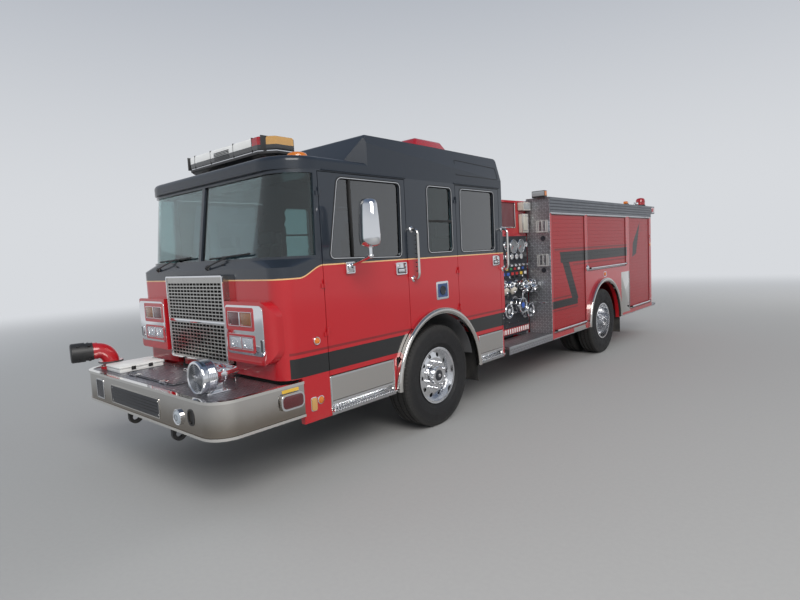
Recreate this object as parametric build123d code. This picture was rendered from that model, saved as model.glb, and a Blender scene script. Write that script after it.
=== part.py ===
from build123d import *
import math
import os

# A custom-cab fire engine (pumper), parked on its six tyres with the wheels straight ahead.
# Millimetres. X points to the vehicle's left, Y to its rear, Z up. The origin is on the ground,
# in the middle of the vehicle's length and width. Places along the vehicle are stated as stations:
# the distance behind the front axle, turned into a Y place by at().

# Overall layout
BODY_HALF = 1235
CAB_HALF = BODY_HALF - 25
FRONT_OVERHANG = 2630
WHEELBASE = 4570
REAR_OVERHANG = 2800
# The suction elbow reaches past the bumper: its riser's x and station, bend, pipe, heading to the right
ELBOW_PLACE = (170 - BODY_HALF, -2430)
ELBOW_BEND = 112
ELBOW_PIPE = 75
ELBOW_HEADING = 14
CAP_START = 36
CAP_LENGTH = 190
CAP_RADIUS = 94
CAP_ROUND = 14
FRONT_REACH = (
    -ELBOW_PLACE[1]
    + (ELBOW_BEND + CAP_START + CAP_LENGTH - CAP_ROUND) * math.cos(math.radians(ELBOW_HEADING))
    + (CAP_RADIUS - CAP_ROUND) * math.sin(math.radians(ELBOW_HEADING))
    + CAP_ROUND
)
OVERALL_LENGTH = FRONT_REACH + WHEELBASE + REAR_OVERHANG
RUN = 0.3
SHAFT_RUN = 0.08
DOOR_GAP = 7

# Cab
CAB_FRONT = -2000
CAB_BACK = 1350
CAB_WALL = 50
CAB_FLOOR_TOP = 1100
FLOOR_SHEET = 40
FRONT_FOOT_Z = 900
COWL_Z = 1795
COWL_RISE = 65
LOWER_CORNER = 150
UPPER_CORNER = 400
SCREEN_TOP_CORNER = 315
ROOF_CORNER = 340
COWL_SET_BACK = 22
WINDSHIELD_RAKE = 108
ROOF_SPLIT_Z = 2575
LOW_ROOF_Z = 2685
ROOF_BROW = 26
ROOF_EDGE = 45
RAISED_ROOF_Z = 2935
RAISED_FOOT = -1140
RAISED_BREAK = -950
RAISED_CHAMFER = 130
# The raised roof's sides lean in above a crease: height of the crease at its front and back, lean at the top
CREASE_Z = (2872, 2662)
CREASE_LEAN = (20, 74)
WINDSHIELD_LOW = 1880
WINDSHIELD_HIGH = 2545
WINDSHIELD_BACK = -1612
CENTRE_POST = 44
GLASS = 6
GLASS_INSET = 18
SKIRT_LOW = 520
SKIRT_FRONT = -1835

# Doors: a row for each door, with stations of its front and back edge
DOOR_LOW = 862
DOOR_HIGH = 2566
FRONT_DOOR = (-1550, -458)
CREW_DOOR = (378, 1276)
HINGE_HEIGHTS = (1235, 1640, 2400)
HINGE_RADIUS = 9
HINGE_PIN = 4
HINGE_STANDOFF = 11
KNUCKLE_HEIGHT = 34
LEAF_LENGTH = 34
WINDOW_LOW = 1842
WINDOW_HIGH = 2520
WINDOW_CORNER = 45
FRONT_WINDOW = ((-1455, 1850), (-1330, WINDOW_HIGH), (-535, WINDOW_HIGH), (-552, 1828))
CREW_WINDOW = ((465, WINDOW_LOW), (475, WINDOW_HIGH), (1160, WINDOW_HIGH), (1150, WINDOW_LOW))
FIXED_WINDOW = ((-120, 1852), (-112, WINDOW_HIGH), (300, WINDOW_HIGH), (295, 1852))
LATCH_SIZE = (150, 110)
LATCH_DEPTH = 10
LATCH_Z = 1712

# Wheels and axles
TYRE_RADIUS = 540
TYRE_HALF_WIDTH = 150
RIM_RADIUS = 285
RIM_FLANGE = 299
RIM_HALF_WIDTH = 122
RIM_WALL = 9
BOLT_CIRCLE = 143
HAND_HOLE_CIRCLE = 218
HAND_HOLE = 24
NUTS = 10
FRONT_TRACK_HALF = 1035
REAR_OUTER_HALF = 1078
DUAL_SPACING = 340
REAR_TYRE_HALF_WIDTH = 138
KINGPIN_X = 905
KINGPIN_RADIUS = 18
KINGPIN_BOSS = 44
SPINDLE_RADIUS = 40
REAR_SPINDLE = 60
HUB_RADIUS = 95
ARCH_RADIUS = 668
TRIM_WIDTH = 58
TRIM_STAND = 38
ARCH_LOW = 528
ARCH_LINER = 6
ARCH_INNER_X = 500
SPRING_X = 500
SPRING_HALF_WIDTH = 38

# Chassis frame
RAIL_OUTER = 435
RAIL_FLANGE = 85
RAIL_TOP = 862
RAIL_LOW = 640
RAIL_SHEET = 10
RAIL_FRONT = -2590
RAIL_BACK = 7050
CROSSMEMBERS = (-1900, -650, 900, 2300, 3500, 5500, 6900)
# The tilting cab turns on pins low behind its nose: station, height, pin, lug and its x range
CAB_PIVOT = (-1930, 1010)
CAB_PIN = 18
CAB_LUG = 40
CAB_LUG_X = (462, 493)
CAB_EAR = 36
CAB_EAR_FRONT = 24
CAB_EARS_X = ((440, 458), (497, 515))

# Heights of the amber side marker and of the three lamps in each rear stack
SIDE_MARKER_Z = 1180
REAR_LAMPS_Z = (1180, 1400, 1620)
# Tow eyes: station and height of the hole, its radius, the eye's outer radius and x range
TOW_EYE = (-2500, 500)
TOW_EYE_BORE = 32
TOW_EYE_OUTER = 62
TOW_EYE_X = (400, 432)

# Bumper and its deck
BUMPER_SHEET = 12
BUMPER_LOW = 596
BUMPER_TOP = 884
BUMPER_BACK = -1845
BUMPER_CORNER = 190
BUMPER_LIP = 34
BUMPER_BEAD = 8
DECK_SHEET = 6
DECK_BACK = CAB_FRONT - 12
WELL = ((-325, 325), (-2470, -2150))
WELL_DEPTH = 190
# The tray stands between the elbow and the hose well's lid.
TRAY_X = (ELBOW_PLACE[0] + 135, ELBOW_PLACE[0] + 445)
LID_X = (TRAY_X[1] + 60, 345)
LID_Y = (-2500, -2112)
LID_PIN = 4
LID_SHEET = 8
LID_SEAT = 6

# Pump house and body
PUMP_FRONT = 1400
PUMP_BACK = 2575
PUMP_HALF = 872
PUMP_LOW = 640
PANEL_LOW = 800
PANEL_HIGH = 2010
PANEL_SHEET = 10
CROSSLAY_LOW = 2120
CROSSLAY_BACK = 2290
PUMP_TOP = 2500
BULKHEAD_SHEET = 12
BODY_FRONT = 2600
BODY_BACK = 7120
BODY_LOW = 515
BODY_SHEET = 30
BODY_INNER = 600
RAIL_LINE = 2312
BODY_TOP = 2530
HOSE_FLOOR_Z = 1500
# Side compartments: front station, back station, sill height
COMPARTMENTS = (
    (2650, 3790, 600),
    (3905, 5640, 1420),
    (5840, 6990, 600),
)
SHUTTER_TOP = 2290
SLAT_PITCH = 56
SLAT_PROUD = 4
SHUTTER_SHEET = 10
SHUTTER_INSET = 14
BAR_RADIUS = 13
BOARD_TOP = 612
BOARD_SHEET = 28

HALF_LENGTH = OVERALL_LENGTH / 2
AXLE_Z = TYRE_RADIUS


def at(station):
    """Y place of a station, which is a distance behind the front axle."""
    return FRONT_REACH - HALF_LENGTH + station


FRONT_AXLE_Y = at(0)
REAR_AXLE_Y = at(WHEELBASE)


def block(x, y, z):
    """A box, from its (low, high) places along each axis."""
    return Pos((x[0] + x[1]) / 2, (y[0] + y[1]) / 2, (z[0] + z[1]) / 2) * Box(
        abs(x[1] - x[0]), abs(y[1] - y[0]), abs(z[1] - z[0])
    )


def slab(x, stations, z):
    """A box whose second pair is stations along the vehicle."""
    return block(x, (at(stations[0]), at(stations[1])), z)


def rod(start, end, radius):
    """A round bar from one point to another."""
    start, end = Vector(*start), Vector(*end)
    ends = (Align.CENTER, Align.CENTER, Align.MIN)
    return Plane(origin=start, z_dir=end - start) * Cylinder(radius, (end - start).length, align=ends)


def side_face(points, corner=0):
    """A flat face in the side view, from (station, height) points, with rounded corners."""
    face = Plane.YZ * make_face(Polyline([(at(y), z) for y, z in points], close=True))
    return fillet(face.vertices(), corner) if corner else face


def side_prism(points, x, corner=0):
    """A side-view outline pushed out from x[0] to x[1]."""
    return extrude(Pos(x[0], 0, 0) * side_face(points, corner), x[1] - x[0], dir=(1, 0, 0))


def front_prism(points, stations, corner=0):
    """A front-view outline, from (x, z) points, pushed back from one station to another."""
    face = Plane.XZ * make_face(Polyline(points, close=True))
    face = fillet(face.vertices(), corner) if corner else face
    return extrude(Pos(0, at(stations[0]), 0) * face, at(stations[1]) - at(stations[0]), dir=(0, 1, 0))


def lathe(points):
    """A shape turned about the X axis, from (x, radius) points."""
    return revolve(Plane.XY * make_face(Polyline(points, close=True)), Axis.X)


def mirrored(shape):
    """The same shape on the other side of the vehicle."""
    return mirror(shape, about=Plane.YZ)


def both(shape):
    """The shape and its twin on the other side, as a list."""
    return [shape, mirrored(shape)]


def mirrored_pair(shape):
    """The shape joined with its twin on the other side."""
    return shape + mirrored(shape)


def pieces(*shapes):
    """All solids of the shapes, in one list."""
    return [solid for shape in shapes for solid in (shape if isinstance(shape, list) else shape.solids())]


def write(node, *shapes):
    """One STEP file for a node, holding its separate solids."""
    solids = [s for shape in pieces(*shapes) for s in shape.solids()]
    export_step(solids[0] if len(solids) == 1 else Compound(children=solids), f"parts/{node}.step")


def arch_tool(axle_y, x, radius):
    """The space of a wheel arch, round above the axle and straight down below it."""
    round_part = Pos((x[0] + x[1]) / 2, axle_y, AXLE_Z) * Rot(0, 90, 0) * Cylinder(radius, x[1] - x[0])
    span = (axle_y - radius - 5, axle_y + radius + 5)
    above = round_part & block((x[0] - 5, x[1] + 5), span, (AXLE_Z, AXLE_Z + radius + 5))
    return above + block(x, (axle_y - radius, axle_y + radius), (0, AXLE_Z))


# Cab envelope

def cab_plan(front, corner, z, inset=0):
    """A plan section of the cab at a height, its front corners rounded, drawn in by inset."""
    half = CAB_HALF - inset
    y0, y1 = at(front) + inset, at(CAB_BACK) - inset
    section = Pos(0, (y0 + y1) / 2, z) * Rectangle(2 * half, y1 - y0)
    return fillet(section.vertices().group_by(Axis.Y)[0], corner - inset)


def cab_lower(inset=0):
    """The cab up to the cowl, which has tight corners."""
    base = cab_plan(CAB_FRONT, LOWER_CORNER, SKIRT_LOW, inset)
    return extrude(base, COWL_Z - SKIRT_LOW)


def greenhouse(inset=0):
    """The cowl ledge and the leaning, wrapped windshield zone above it."""
    sill = CAB_FRONT + COWL_SET_BACK
    ledge = loft(
        [
            cab_plan(CAB_FRONT, LOWER_CORNER, COWL_Z, inset),
            cab_plan(sill, UPPER_CORNER, COWL_Z + COWL_RISE, inset),
        ],
        ruled=True,
    )
    screen = loft(
        [
            cab_plan(sill, UPPER_CORNER, COWL_Z + COWL_RISE, inset),
            cab_plan(sill + WINDSHIELD_RAKE, SCREEN_TOP_CORNER, ROOF_SPLIT_Z, inset),
        ],
        ruled=True,
    )
    return ledge + screen


def roof(inset=0):
    """The low roof with its brow, and the raised roof over the crew, with rounded edges."""
    front = CAB_FRONT + COWL_SET_BACK + WINDSHIELD_RAKE - ROOF_BROW
    low = extrude(cab_plan(front, ROOF_CORNER, ROOF_SPLIT_Z, inset), LOW_ROOF_Z - ROOF_SPLIT_Z - inset)
    half = CAB_HALF - inset
    profile = (
        (RAISED_FOOT + inset, ROOF_SPLIT_Z),
        (RAISED_FOOT + inset, LOW_ROOF_Z - inset),
        (RAISED_BREAK + inset, RAISED_ROOF_Z - inset),
        (CAB_BACK - inset, RAISED_ROOF_Z - inset),
        (CAB_BACK - inset, ROOF_SPLIT_Z),
    )
    raised = side_prism(profile, (-half, half))
    foot_y, side_y = at(RAISED_FOOT) + inset, at(RAISED_BREAK) + inset
    corners = make_face(
        Polyline(
            [
                (-half, side_y),
                (-half + RAISED_CHAMFER, foot_y),
                (half - RAISED_CHAMFER, foot_y),
                (half, side_y),
                (half, at(CAB_BACK)),
                (-half, at(CAB_BACK)),
            ],
            close=True,
        )
    )
    raised = raised & extrude(Pos(0, 0, ROOF_SPLIT_Z) * corners, RAISED_ROOF_Z)
    edge = ROOF_EDGE if not inset else 0
    if edge:
        low = fillet(low.edges().group_by(Axis.Z)[-1], edge)
        top = raised.edges().group_by(Axis.Z)[-1]
        raised = fillet(top, edge)
    raised = raised - mirrored_pair(crease_tool(inset))
    return low + raised


def crease_tool(inset):
    """The wedge that leans the raised roof's side inwards above its descending crease."""
    top, half = RAISED_ROOF_Z + 5, CAB_HALF - inset
    out = half + 5
    ends = []
    for station, crease, lean in zip((RAISED_FOOT - 20, CAB_BACK + 5), CREASE_Z, CREASE_LEAN):
        outline = Polyline([(half, crease), (out, crease), (out, top), (half - lean, top)], close=True)
        ends.append(Pos(0, at(station), 0) * (Plane.XZ * make_face(outline)))
    return loft(ends, ruled=True)


def windshield_tool():
    """Everything that the windshield opening takes out, apart from the centre post."""
    half = CAB_HALF + 10
    outline = (
        (CAB_FRONT - 50, WINDSHIELD_LOW),
        (WINDSHIELD_BACK, WINDSHIELD_LOW),
        (WINDSHIELD_BACK + 20, WINDSHIELD_HIGH),
        (CAB_FRONT - 50, WINDSHIELD_HIGH),
    )
    whole = side_prism(outline, (-half, half))
    post = block(
        (-CENTRE_POST / 2, CENTRE_POST / 2), (at(CAB_FRONT - 60), at(WINDSHIELD_BACK)), (WINDSHIELD_LOW, WINDSHIELD_HIGH)
    )
    return whole - post


def window_tool(outline, x):
    return side_prism(outline, x, WINDOW_CORNER)


def cab_shell():
    """The whole cab as one hollow shell, before it is split into its panels."""
    outer = cab_lower() + greenhouse() + roof()
    inner = cab_lower(CAB_WALL) + greenhouse(CAB_WALL) + roof(CAB_WALL)
    inner = inner + extrude(cab_plan(CAB_FRONT, LOWER_CORNER, SKIRT_LOW - 10, CAB_WALL), 20)
    shell = outer - inner - windshield_tool()
    wide = (CAB_HALF - 200, CAB_HALF + 10)
    openings = window_tool(FIXED_WINDOW, wide)
    for front, back in (FRONT_DOOR, CREW_DOOR):
        openings = openings + slab(wide, (front, back), (SKIRT_LOW - 5, DOOR_HIGH))
    openings = openings + arch_tool(FRONT_AXLE_Y, wide, ARCH_RADIUS)
    openings = openings + slab(wide, (SKIRT_FRONT, CAB_BACK + 5), (SKIRT_LOW - 5, SKIRT_LOW))
    return shell - openings - mirrored(openings)


# Each part of the vehicle is written by its own function.

def write_cab():
    shell = cab_shell()
    # The nose stands on the bumper deck, and only its sides reach down as skirts.
    nose = slab((-CAB_HALF, CAB_HALF), (CAB_FRONT - 5, SKIRT_FRONT), (SKIRT_LOW - 20, FRONT_FOOT_Z))
    back_low = slab((-CAB_HALF, CAB_HALF), (CAB_BACK - CAB_WALL - 2, CAB_BACK + 5), (SKIRT_LOW - 20, CAB_FLOOR_TOP - FLOOR_SHEET))
    shell = shell - nose - back_low
    for side in (-1, 1):
        notch = slab(
            sorted((side * 392, side * (CAB_EARS_X[1][1] + 10))),
            (CAB_FRONT - 5, CAB_FRONT + CAB_WALL + 5),
            (SKIRT_LOW, CAB_FLOOR_TOP - FLOOR_SHEET),
        )
        shell = shell - notch
    wide = (-CAB_HALF - 10, CAB_HALF + 10)
    whole = (SKIRT_LOW - 20, ROOF_SPLIT_Z)
    front_zone = slab(wide, (CAB_FRONT - 10, FRONT_DOOR[0]), whole)
    front = shell & front_zone
    rest = shell & slab(wide, (FRONT_DOOR[0], CAB_BACK + 10), whole)
    for z in HINGE_HEIGHTS:
        front = front + mirrored_pair(cab_hinge_half(FRONT_DOOR[0] + DOOR_GAP / 2, z))
        rest = rest + mirrored_pair(cab_hinge_half(CREW_DOOR[0] + DOOR_GAP / 2, z))
    write("cab_front", front)
    write("cab_sides", rest)
    write("cab_roof", shell & slab(wide, (CAB_FRONT - 10, CAB_BACK + 10), (ROOF_SPLIT_Z, RAISED_ROOF_Z + 5)))
    write_cab_floor()
    write_cab_glass()


def write_cab_floor():
    inner = CAB_HALF - CAB_WALL
    floor = slab((-inner, inner), (CAB_FRONT + CAB_WALL, CAB_BACK - CAB_WALL), (CAB_FLOOR_TOP - FLOOR_SHEET, CAB_FLOOR_TOP))
    front = cab_plan(CAB_FRONT, LOWER_CORNER, CAB_FLOOR_TOP - FLOOR_SHEET, CAB_WALL)
    floor = floor & extrude(front, FLOOR_SHEET)
    for front_edge, back_edge in ((FRONT_DOOR[0] + 60, -ARCH_RADIUS - 30), (ARCH_RADIUS + 30, CREW_DOOR[1] - 30)):
        for side in (-1, 1):
            floor = floor - slab(sorted((side * 916, side * (inner + 1))), (front_edge, back_edge), (900, 1200))
    # Wheel wells: a round liner over each front wheel, closed on its inner side.
    well = arch_tool(FRONT_AXLE_Y, (ARCH_INNER_X, inner - 1), ARCH_RADIUS + ARCH_LINER)
    room = arch_tool(FRONT_AXLE_Y, (ARCH_INNER_X + ARCH_LINER, CAB_HALF + 5), ARCH_RADIUS)
    below = slab((0, CAB_HALF + 20), (-ARCH_RADIUS - 50, ARCH_RADIUS + 50), (0, AXLE_Z + 130))
    well = well - below
    floor = floor + well + mirrored(well)
    floor = floor - room - mirrored(room)
    # The engine tunnel stands in the middle of the floor, open underneath.
    tunnel = slab((-440, 440), (CAB_FRONT + CAB_WALL + RUN, -120), (CAB_FLOOR_TOP, 1500))
    room = slab((-415, 415), (CAB_FRONT + CAB_WALL + 30, -145), (CAB_FLOOR_TOP - FLOOR_SHEET - 5, 1475))
    floor = floor - room
    write("engine_tunnel", tunnel - room)
    # Lugs under the floor take the pins that the cab tilts on.
    pivot_y, pivot_z = at(CAB_PIVOT[0]), CAB_PIVOT[1]
    lug = rod((CAB_LUG_X[0], pivot_y, pivot_z), (CAB_LUG_X[1], pivot_y, pivot_z), CAB_LUG)
    lug = lug + slab(CAB_LUG_X, (CAB_FRONT + CAB_WALL, CAB_PIVOT[0] + 36), (pivot_z, CAB_FLOOR_TOP - 5))
    lug = lug - rod((CAB_LUG_X[0] - 5, pivot_y, pivot_z), (CAB_LUG_X[1] + 5, pivot_y, pivot_z), CAB_PIN + SHAFT_RUN)
    write("cab_floor", floor + mirrored_pair(lug))


def write_cab_glass():
    screen = (greenhouse(GLASS_INSET) - greenhouse(GLASS_INSET + GLASS)) & windshield_tool()
    pane_x = (CAB_HALF - GLASS_INSET - GLASS, CAB_HALF - GLASS_INSET)
    fixed = shrunk_window(FIXED_WINDOW, pane_x)
    write("cab_glass", screen, both(fixed))


def shrunk_window(outline, x):
    """A pane a running gap smaller than its opening."""
    face = offset(side_face(outline, WINDOW_CORNER), -RUN)
    return extrude(Pos(x[0], 0, 0) * face, x[1] - x[0], dir=(1, 0, 0))


def door_panel(stations, window, arch_gap):
    """A left door: a whole thickness of wall, with its window, arch notch, latch pad and hinge halves."""
    front, back = stations
    panel = slab((CAB_HALF - CAB_WALL, CAB_HALF), (front + DOOR_GAP, back - DOOR_GAP), (DOOR_LOW, DOOR_HIGH - DOOR_GAP))
    panel = panel - window_tool(window, (CAB_HALF - 100, CAB_HALF + 10))
    panel = panel - arch_tool(FRONT_AXLE_Y, (CAB_HALF - 100, CAB_HALF + 10), ARCH_RADIUS + TRIM_WIDTH + arch_gap)
    latch_back = back - DOOR_GAP - 30
    latch = slab(
        (CAB_HALF, CAB_HALF + LATCH_DEPTH),
        (latch_back - LATCH_SIZE[0], latch_back),
        (LATCH_Z - LATCH_SIZE[1] / 2, LATCH_Z + LATCH_SIZE[1] / 2),
    )
    panel = panel + latch
    for z in HINGE_HEIGHTS:
        station = front + DOOR_GAP / 2
        pin = (CAB_HALF + HINGE_STANDOFF, at(station), z)
        panel = panel + hinge_half(station, z + RUN / 2, KNUCKLE_HEIGHT, 1)
        panel = panel - rod(pin, (pin[0], pin[1], z + KNUCKLE_HEIGHT + 5), HINGE_PIN + SHAFT_RUN)
    return panel


def hinge_half(station, z, height, way):
    """One knuckle of a door hinge with its leaf, going back (way 1) or forward (way -1) from the pin."""
    x = CAB_HALF + HINGE_STANDOFF
    barrel = rod((x, at(station), z), (x, at(station), z + height), HINGE_RADIUS)
    leaf = block(
        (CAB_HALF, x - 3),
        sorted((at(station) + way * (DOOR_GAP / 2 + 1), at(station) + way * LEAF_LENGTH)),
        (z, z + height),
    )
    bridge = block((CAB_HALF + 3, x + 1), sorted((at(station), at(station) + way * 12)), (z, z + height))
    return barrel + leaf + bridge


def cab_hinge_half(station, z):
    """The cab's lower knuckle, with the pin that stands up into the door's knuckle."""
    x, y = CAB_HALF + HINGE_STANDOFF, at(station)
    pin = rod((x, y, z - 10), (x, y, z + KNUCKLE_HEIGHT), HINGE_PIN)
    return hinge_half(station, z - RUN / 2 - KNUCKLE_HEIGHT, KNUCKLE_HEIGHT, -1) + pin


def write_doors():
    pane_x = (CAB_HALF - GLASS_INSET - GLASS, CAB_HALF - GLASS_INSET)
    # Name, stations, window, gap to the fender trim: the crew door swings over the trim beside its hinge
    doors = (("front", FRONT_DOOR, FRONT_WINDOW, 6), ("crew", CREW_DOOR, CREW_WINDOW, 14))
    for name, stations, window, arch_gap in doors:
        panel = door_panel(stations, window, arch_gap)
        pane = shrunk_window(window, pane_x)
        for side, turn in (("left", lambda s: s), ("right", mirrored)):
            write(f"{name}_{side}_door", turn(panel))
            write(f"{name}_{side}_door_glass", turn(pane))
    write_mirrors()


MIRROR_Z = (1925, 2318)
MIRROR_X = CAB_HALF + 310
MIRROR_STATION = -1290
MIRROR_RADIUS = 78


def write_mirrors():
    """A chromed capsule head on a stem, carried by a bracket low on the door's window edge."""
    low, high = MIRROR_Z
    head_plan = Pos(MIRROR_X, at(MIRROR_STATION), low) * Ellipse(105, MIRROR_RADIUS)
    head_top = Pos(MIRROR_X, at(MIRROR_STATION), high) * Ellipse(84, 60)
    head = loft([head_plan, head_top], ruled=True)
    head = head - slab((MIRROR_X - 200, MIRROR_X + 200), (MIRROR_STATION + 34, MIRROR_STATION + 200), (low - 5, high + 5))
    stem = rod((MIRROR_X, at(MIRROR_STATION), low - 90), (MIRROR_X, at(MIRROR_STATION), low + 10), 15)
    foot = (CAB_HALF + 10, at(MIRROR_STATION) + 40, 1765)
    arm = rod(foot, (MIRROR_X, at(MIRROR_STATION), low - 78), 13)
    bracket = block((CAB_HALF, CAB_HALF + 22), (foot[1] - 50, foot[1] + 50), (1705, 1808))
    mirror_piece = head + stem + arm + bracket
    for side, turn in (("left", lambda s: s), ("right", mirrored)):
        write(f"{side}_mirror", turn(mirror_piece))


# Wheels

def tyre(centre_x, half_width):
    """A road tyre as a ring with a bulged sidewall and three grooves round its tread."""
    bead = RIM_RADIUS + RUN
    seat = RIM_HALF_WIDTH - 14
    tread = half_width - 24
    side = [
        (seat, bead),
        (seat + 2, bead + 20),
        (half_width - 8, bead + 62),
        (half_width, bead + 128),
        (half_width - 8, TYRE_RADIUS - 50),
        (tread, TYRE_RADIUS - 9),
    ]
    groove, deep = 7, 13
    crown = []
    for place in (tread * 0.55, 0, -tread * 0.55):
        crown += [
            (place + groove, TYRE_RADIUS),
            (place + groove - 2, TYRE_RADIUS - deep),
            (place - groove + 2, TYRE_RADIUS - deep),
            (place - groove, TYRE_RADIUS),
        ]
    other = [(-x, r) for x, r in reversed(side)]
    return lathe([(centre_x + x, r) for x, r in side + [(tread - 16, TYRE_RADIUS)] + crown + [(16 - tread, TYRE_RADIUS)] + other])


def rim_barrel(centre_x):
    """The drop-centre barrel and its two flanges."""
    inner = RIM_RADIUS - RIM_WALL
    half = RIM_HALF_WIDTH
    return lathe(
        [
            (centre_x - half, inner),
            (centre_x + half, inner),
            (centre_x + half, RIM_FLANGE),
            (centre_x + half - 10, RIM_FLANGE),
            (centre_x + half - 13, RIM_RADIUS),
            (centre_x - half + 13, RIM_RADIUS),
            (centre_x - half + 10, RIM_FLANGE),
            (centre_x - half, RIM_FLANGE),
        ]
    )


def wheel_disc(rim_x, hub_x, thick):
    """The dished disc between the barrel and the bolting face, with its ring of hand holes."""
    reach = RIM_RADIUS - RIM_WALL + 2
    disc = lathe(
        [
            (rim_x, reach),
            (rim_x + thick, reach),
            (hub_x + thick, BOLT_CIRCLE + 42),
            (hub_x + thick, HUB_RADIUS - 10),
            (hub_x, HUB_RADIUS - 10),
            (hub_x, BOLT_CIRCLE + 42),
        ]
    )
    for n in range(NUTS):
        turn = math.radians(360 / NUTS * n)
        y, z = HAND_HOLE_CIRCLE * math.cos(turn), HAND_HOLE_CIRCLE * math.sin(turn)
        low = min(rim_x, hub_x) - 40
        disc = disc - rod((low, y, z), (low + abs(rim_x - hub_x) + thick + 80, y, z), HAND_HOLE)
    return disc


def nuts(face_x, length):
    """A ring of wheel nuts standing out from the disc."""
    ring = []
    for n in range(NUTS):
        turn = math.radians(360 / NUTS * (n + 0.5))
        y, z = BOLT_CIRCLE * math.cos(turn), BOLT_CIRCLE * math.sin(turn)
        ring.append(rod((face_x - 4, y, z), (face_x + length, y, z), 17))
    return ring


def front_wheel():
    """Rim, disc, nuts and hub of a front wheel, on the X axis, as one solid."""
    x = FRONT_TRACK_HALF
    hub_x = x + 62
    disc = wheel_disc(x + 34, hub_x, 20)
    bore = SPINDLE_RADIUS + SHAFT_RUN
    hub = lathe(
        [
            (x - 8, bore),
            (hub_x + 58, bore),
            (hub_x + 58, 0),
            (hub_x + 74, 0),
            (hub_x + 74, 62),
            (hub_x + 58, 74),
            (hub_x + 20, HUB_RADIUS),
            (x - 8, HUB_RADIUS),
        ]
    )
    wheel = rim_barrel(x) + disc + hub
    for nut in nuts(hub_x + 20, 34):
        wheel = wheel + nut
    return wheel


def rear_wheels():
    """The twin rims of one rear side with their shared hub, on the X axis, as one solid."""
    outer_x = REAR_OUTER_HALF
    inner_x = outer_x - DUAL_SPACING
    face = (outer_x + inner_x) / 2
    outer_disc = wheel_disc(face + 40, face + 1, 20)
    inner_disc = wheel_disc(face - 60, face - 21, 20)
    bore = REAR_SPINDLE + SHAFT_RUN
    hub = lathe(
        [
            (face - 90, bore),
            (face + 96, bore),
            (face + 96, 0),
            (face + 116, 0),
            (face + 116, 88),
            (face + 100, HUB_RADIUS),
            (face + 21, HUB_RADIUS + 22),
            (face - 90, HUB_RADIUS + 22),
        ]
    )
    wheel = rim_barrel(outer_x) + rim_barrel(inner_x) + outer_disc + inner_disc + hub
    spacer = lathe([(face - 3, HUB_RADIUS), (face + 3, HUB_RADIUS), (face + 3, BOLT_CIRCLE + 40), (face - 3, BOLT_CIRCLE + 40)])
    wheel = wheel + spacer
    for nut in nuts(face + 21, 34):
        wheel = wheel + nut
    return wheel


def write_wheels():
    inner_x = REAR_OUTER_HALF - DUAL_SPACING
    front_place = Pos(0, FRONT_AXLE_Y, AXLE_Z)
    rear_place = Pos(0, REAR_AXLE_Y, AXLE_Z)
    front_rim = front_place * front_wheel()
    front_tyre = front_place * tyre(FRONT_TRACK_HALF, TYRE_HALF_WIDTH)
    rear_rim = rear_place * rear_wheels()
    rear_tyres = [rear_place * tyre(x, REAR_TYRE_HALF_WIDTH) for x in (inner_x, REAR_OUTER_HALF)]
    for side, turn in (("left", lambda s: s), ("right", mirrored)):
        write(f"front_{side}_rim", turn(front_rim))
        write(f"front_{side}_tyre", turn(front_tyre))
        write(f"rear_{side}_rims", turn(rear_rim))
        write(f"rear_{side}_tyres", *[turn(t) for t in rear_tyres])


# Axles and frame

EAR = 40


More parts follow.
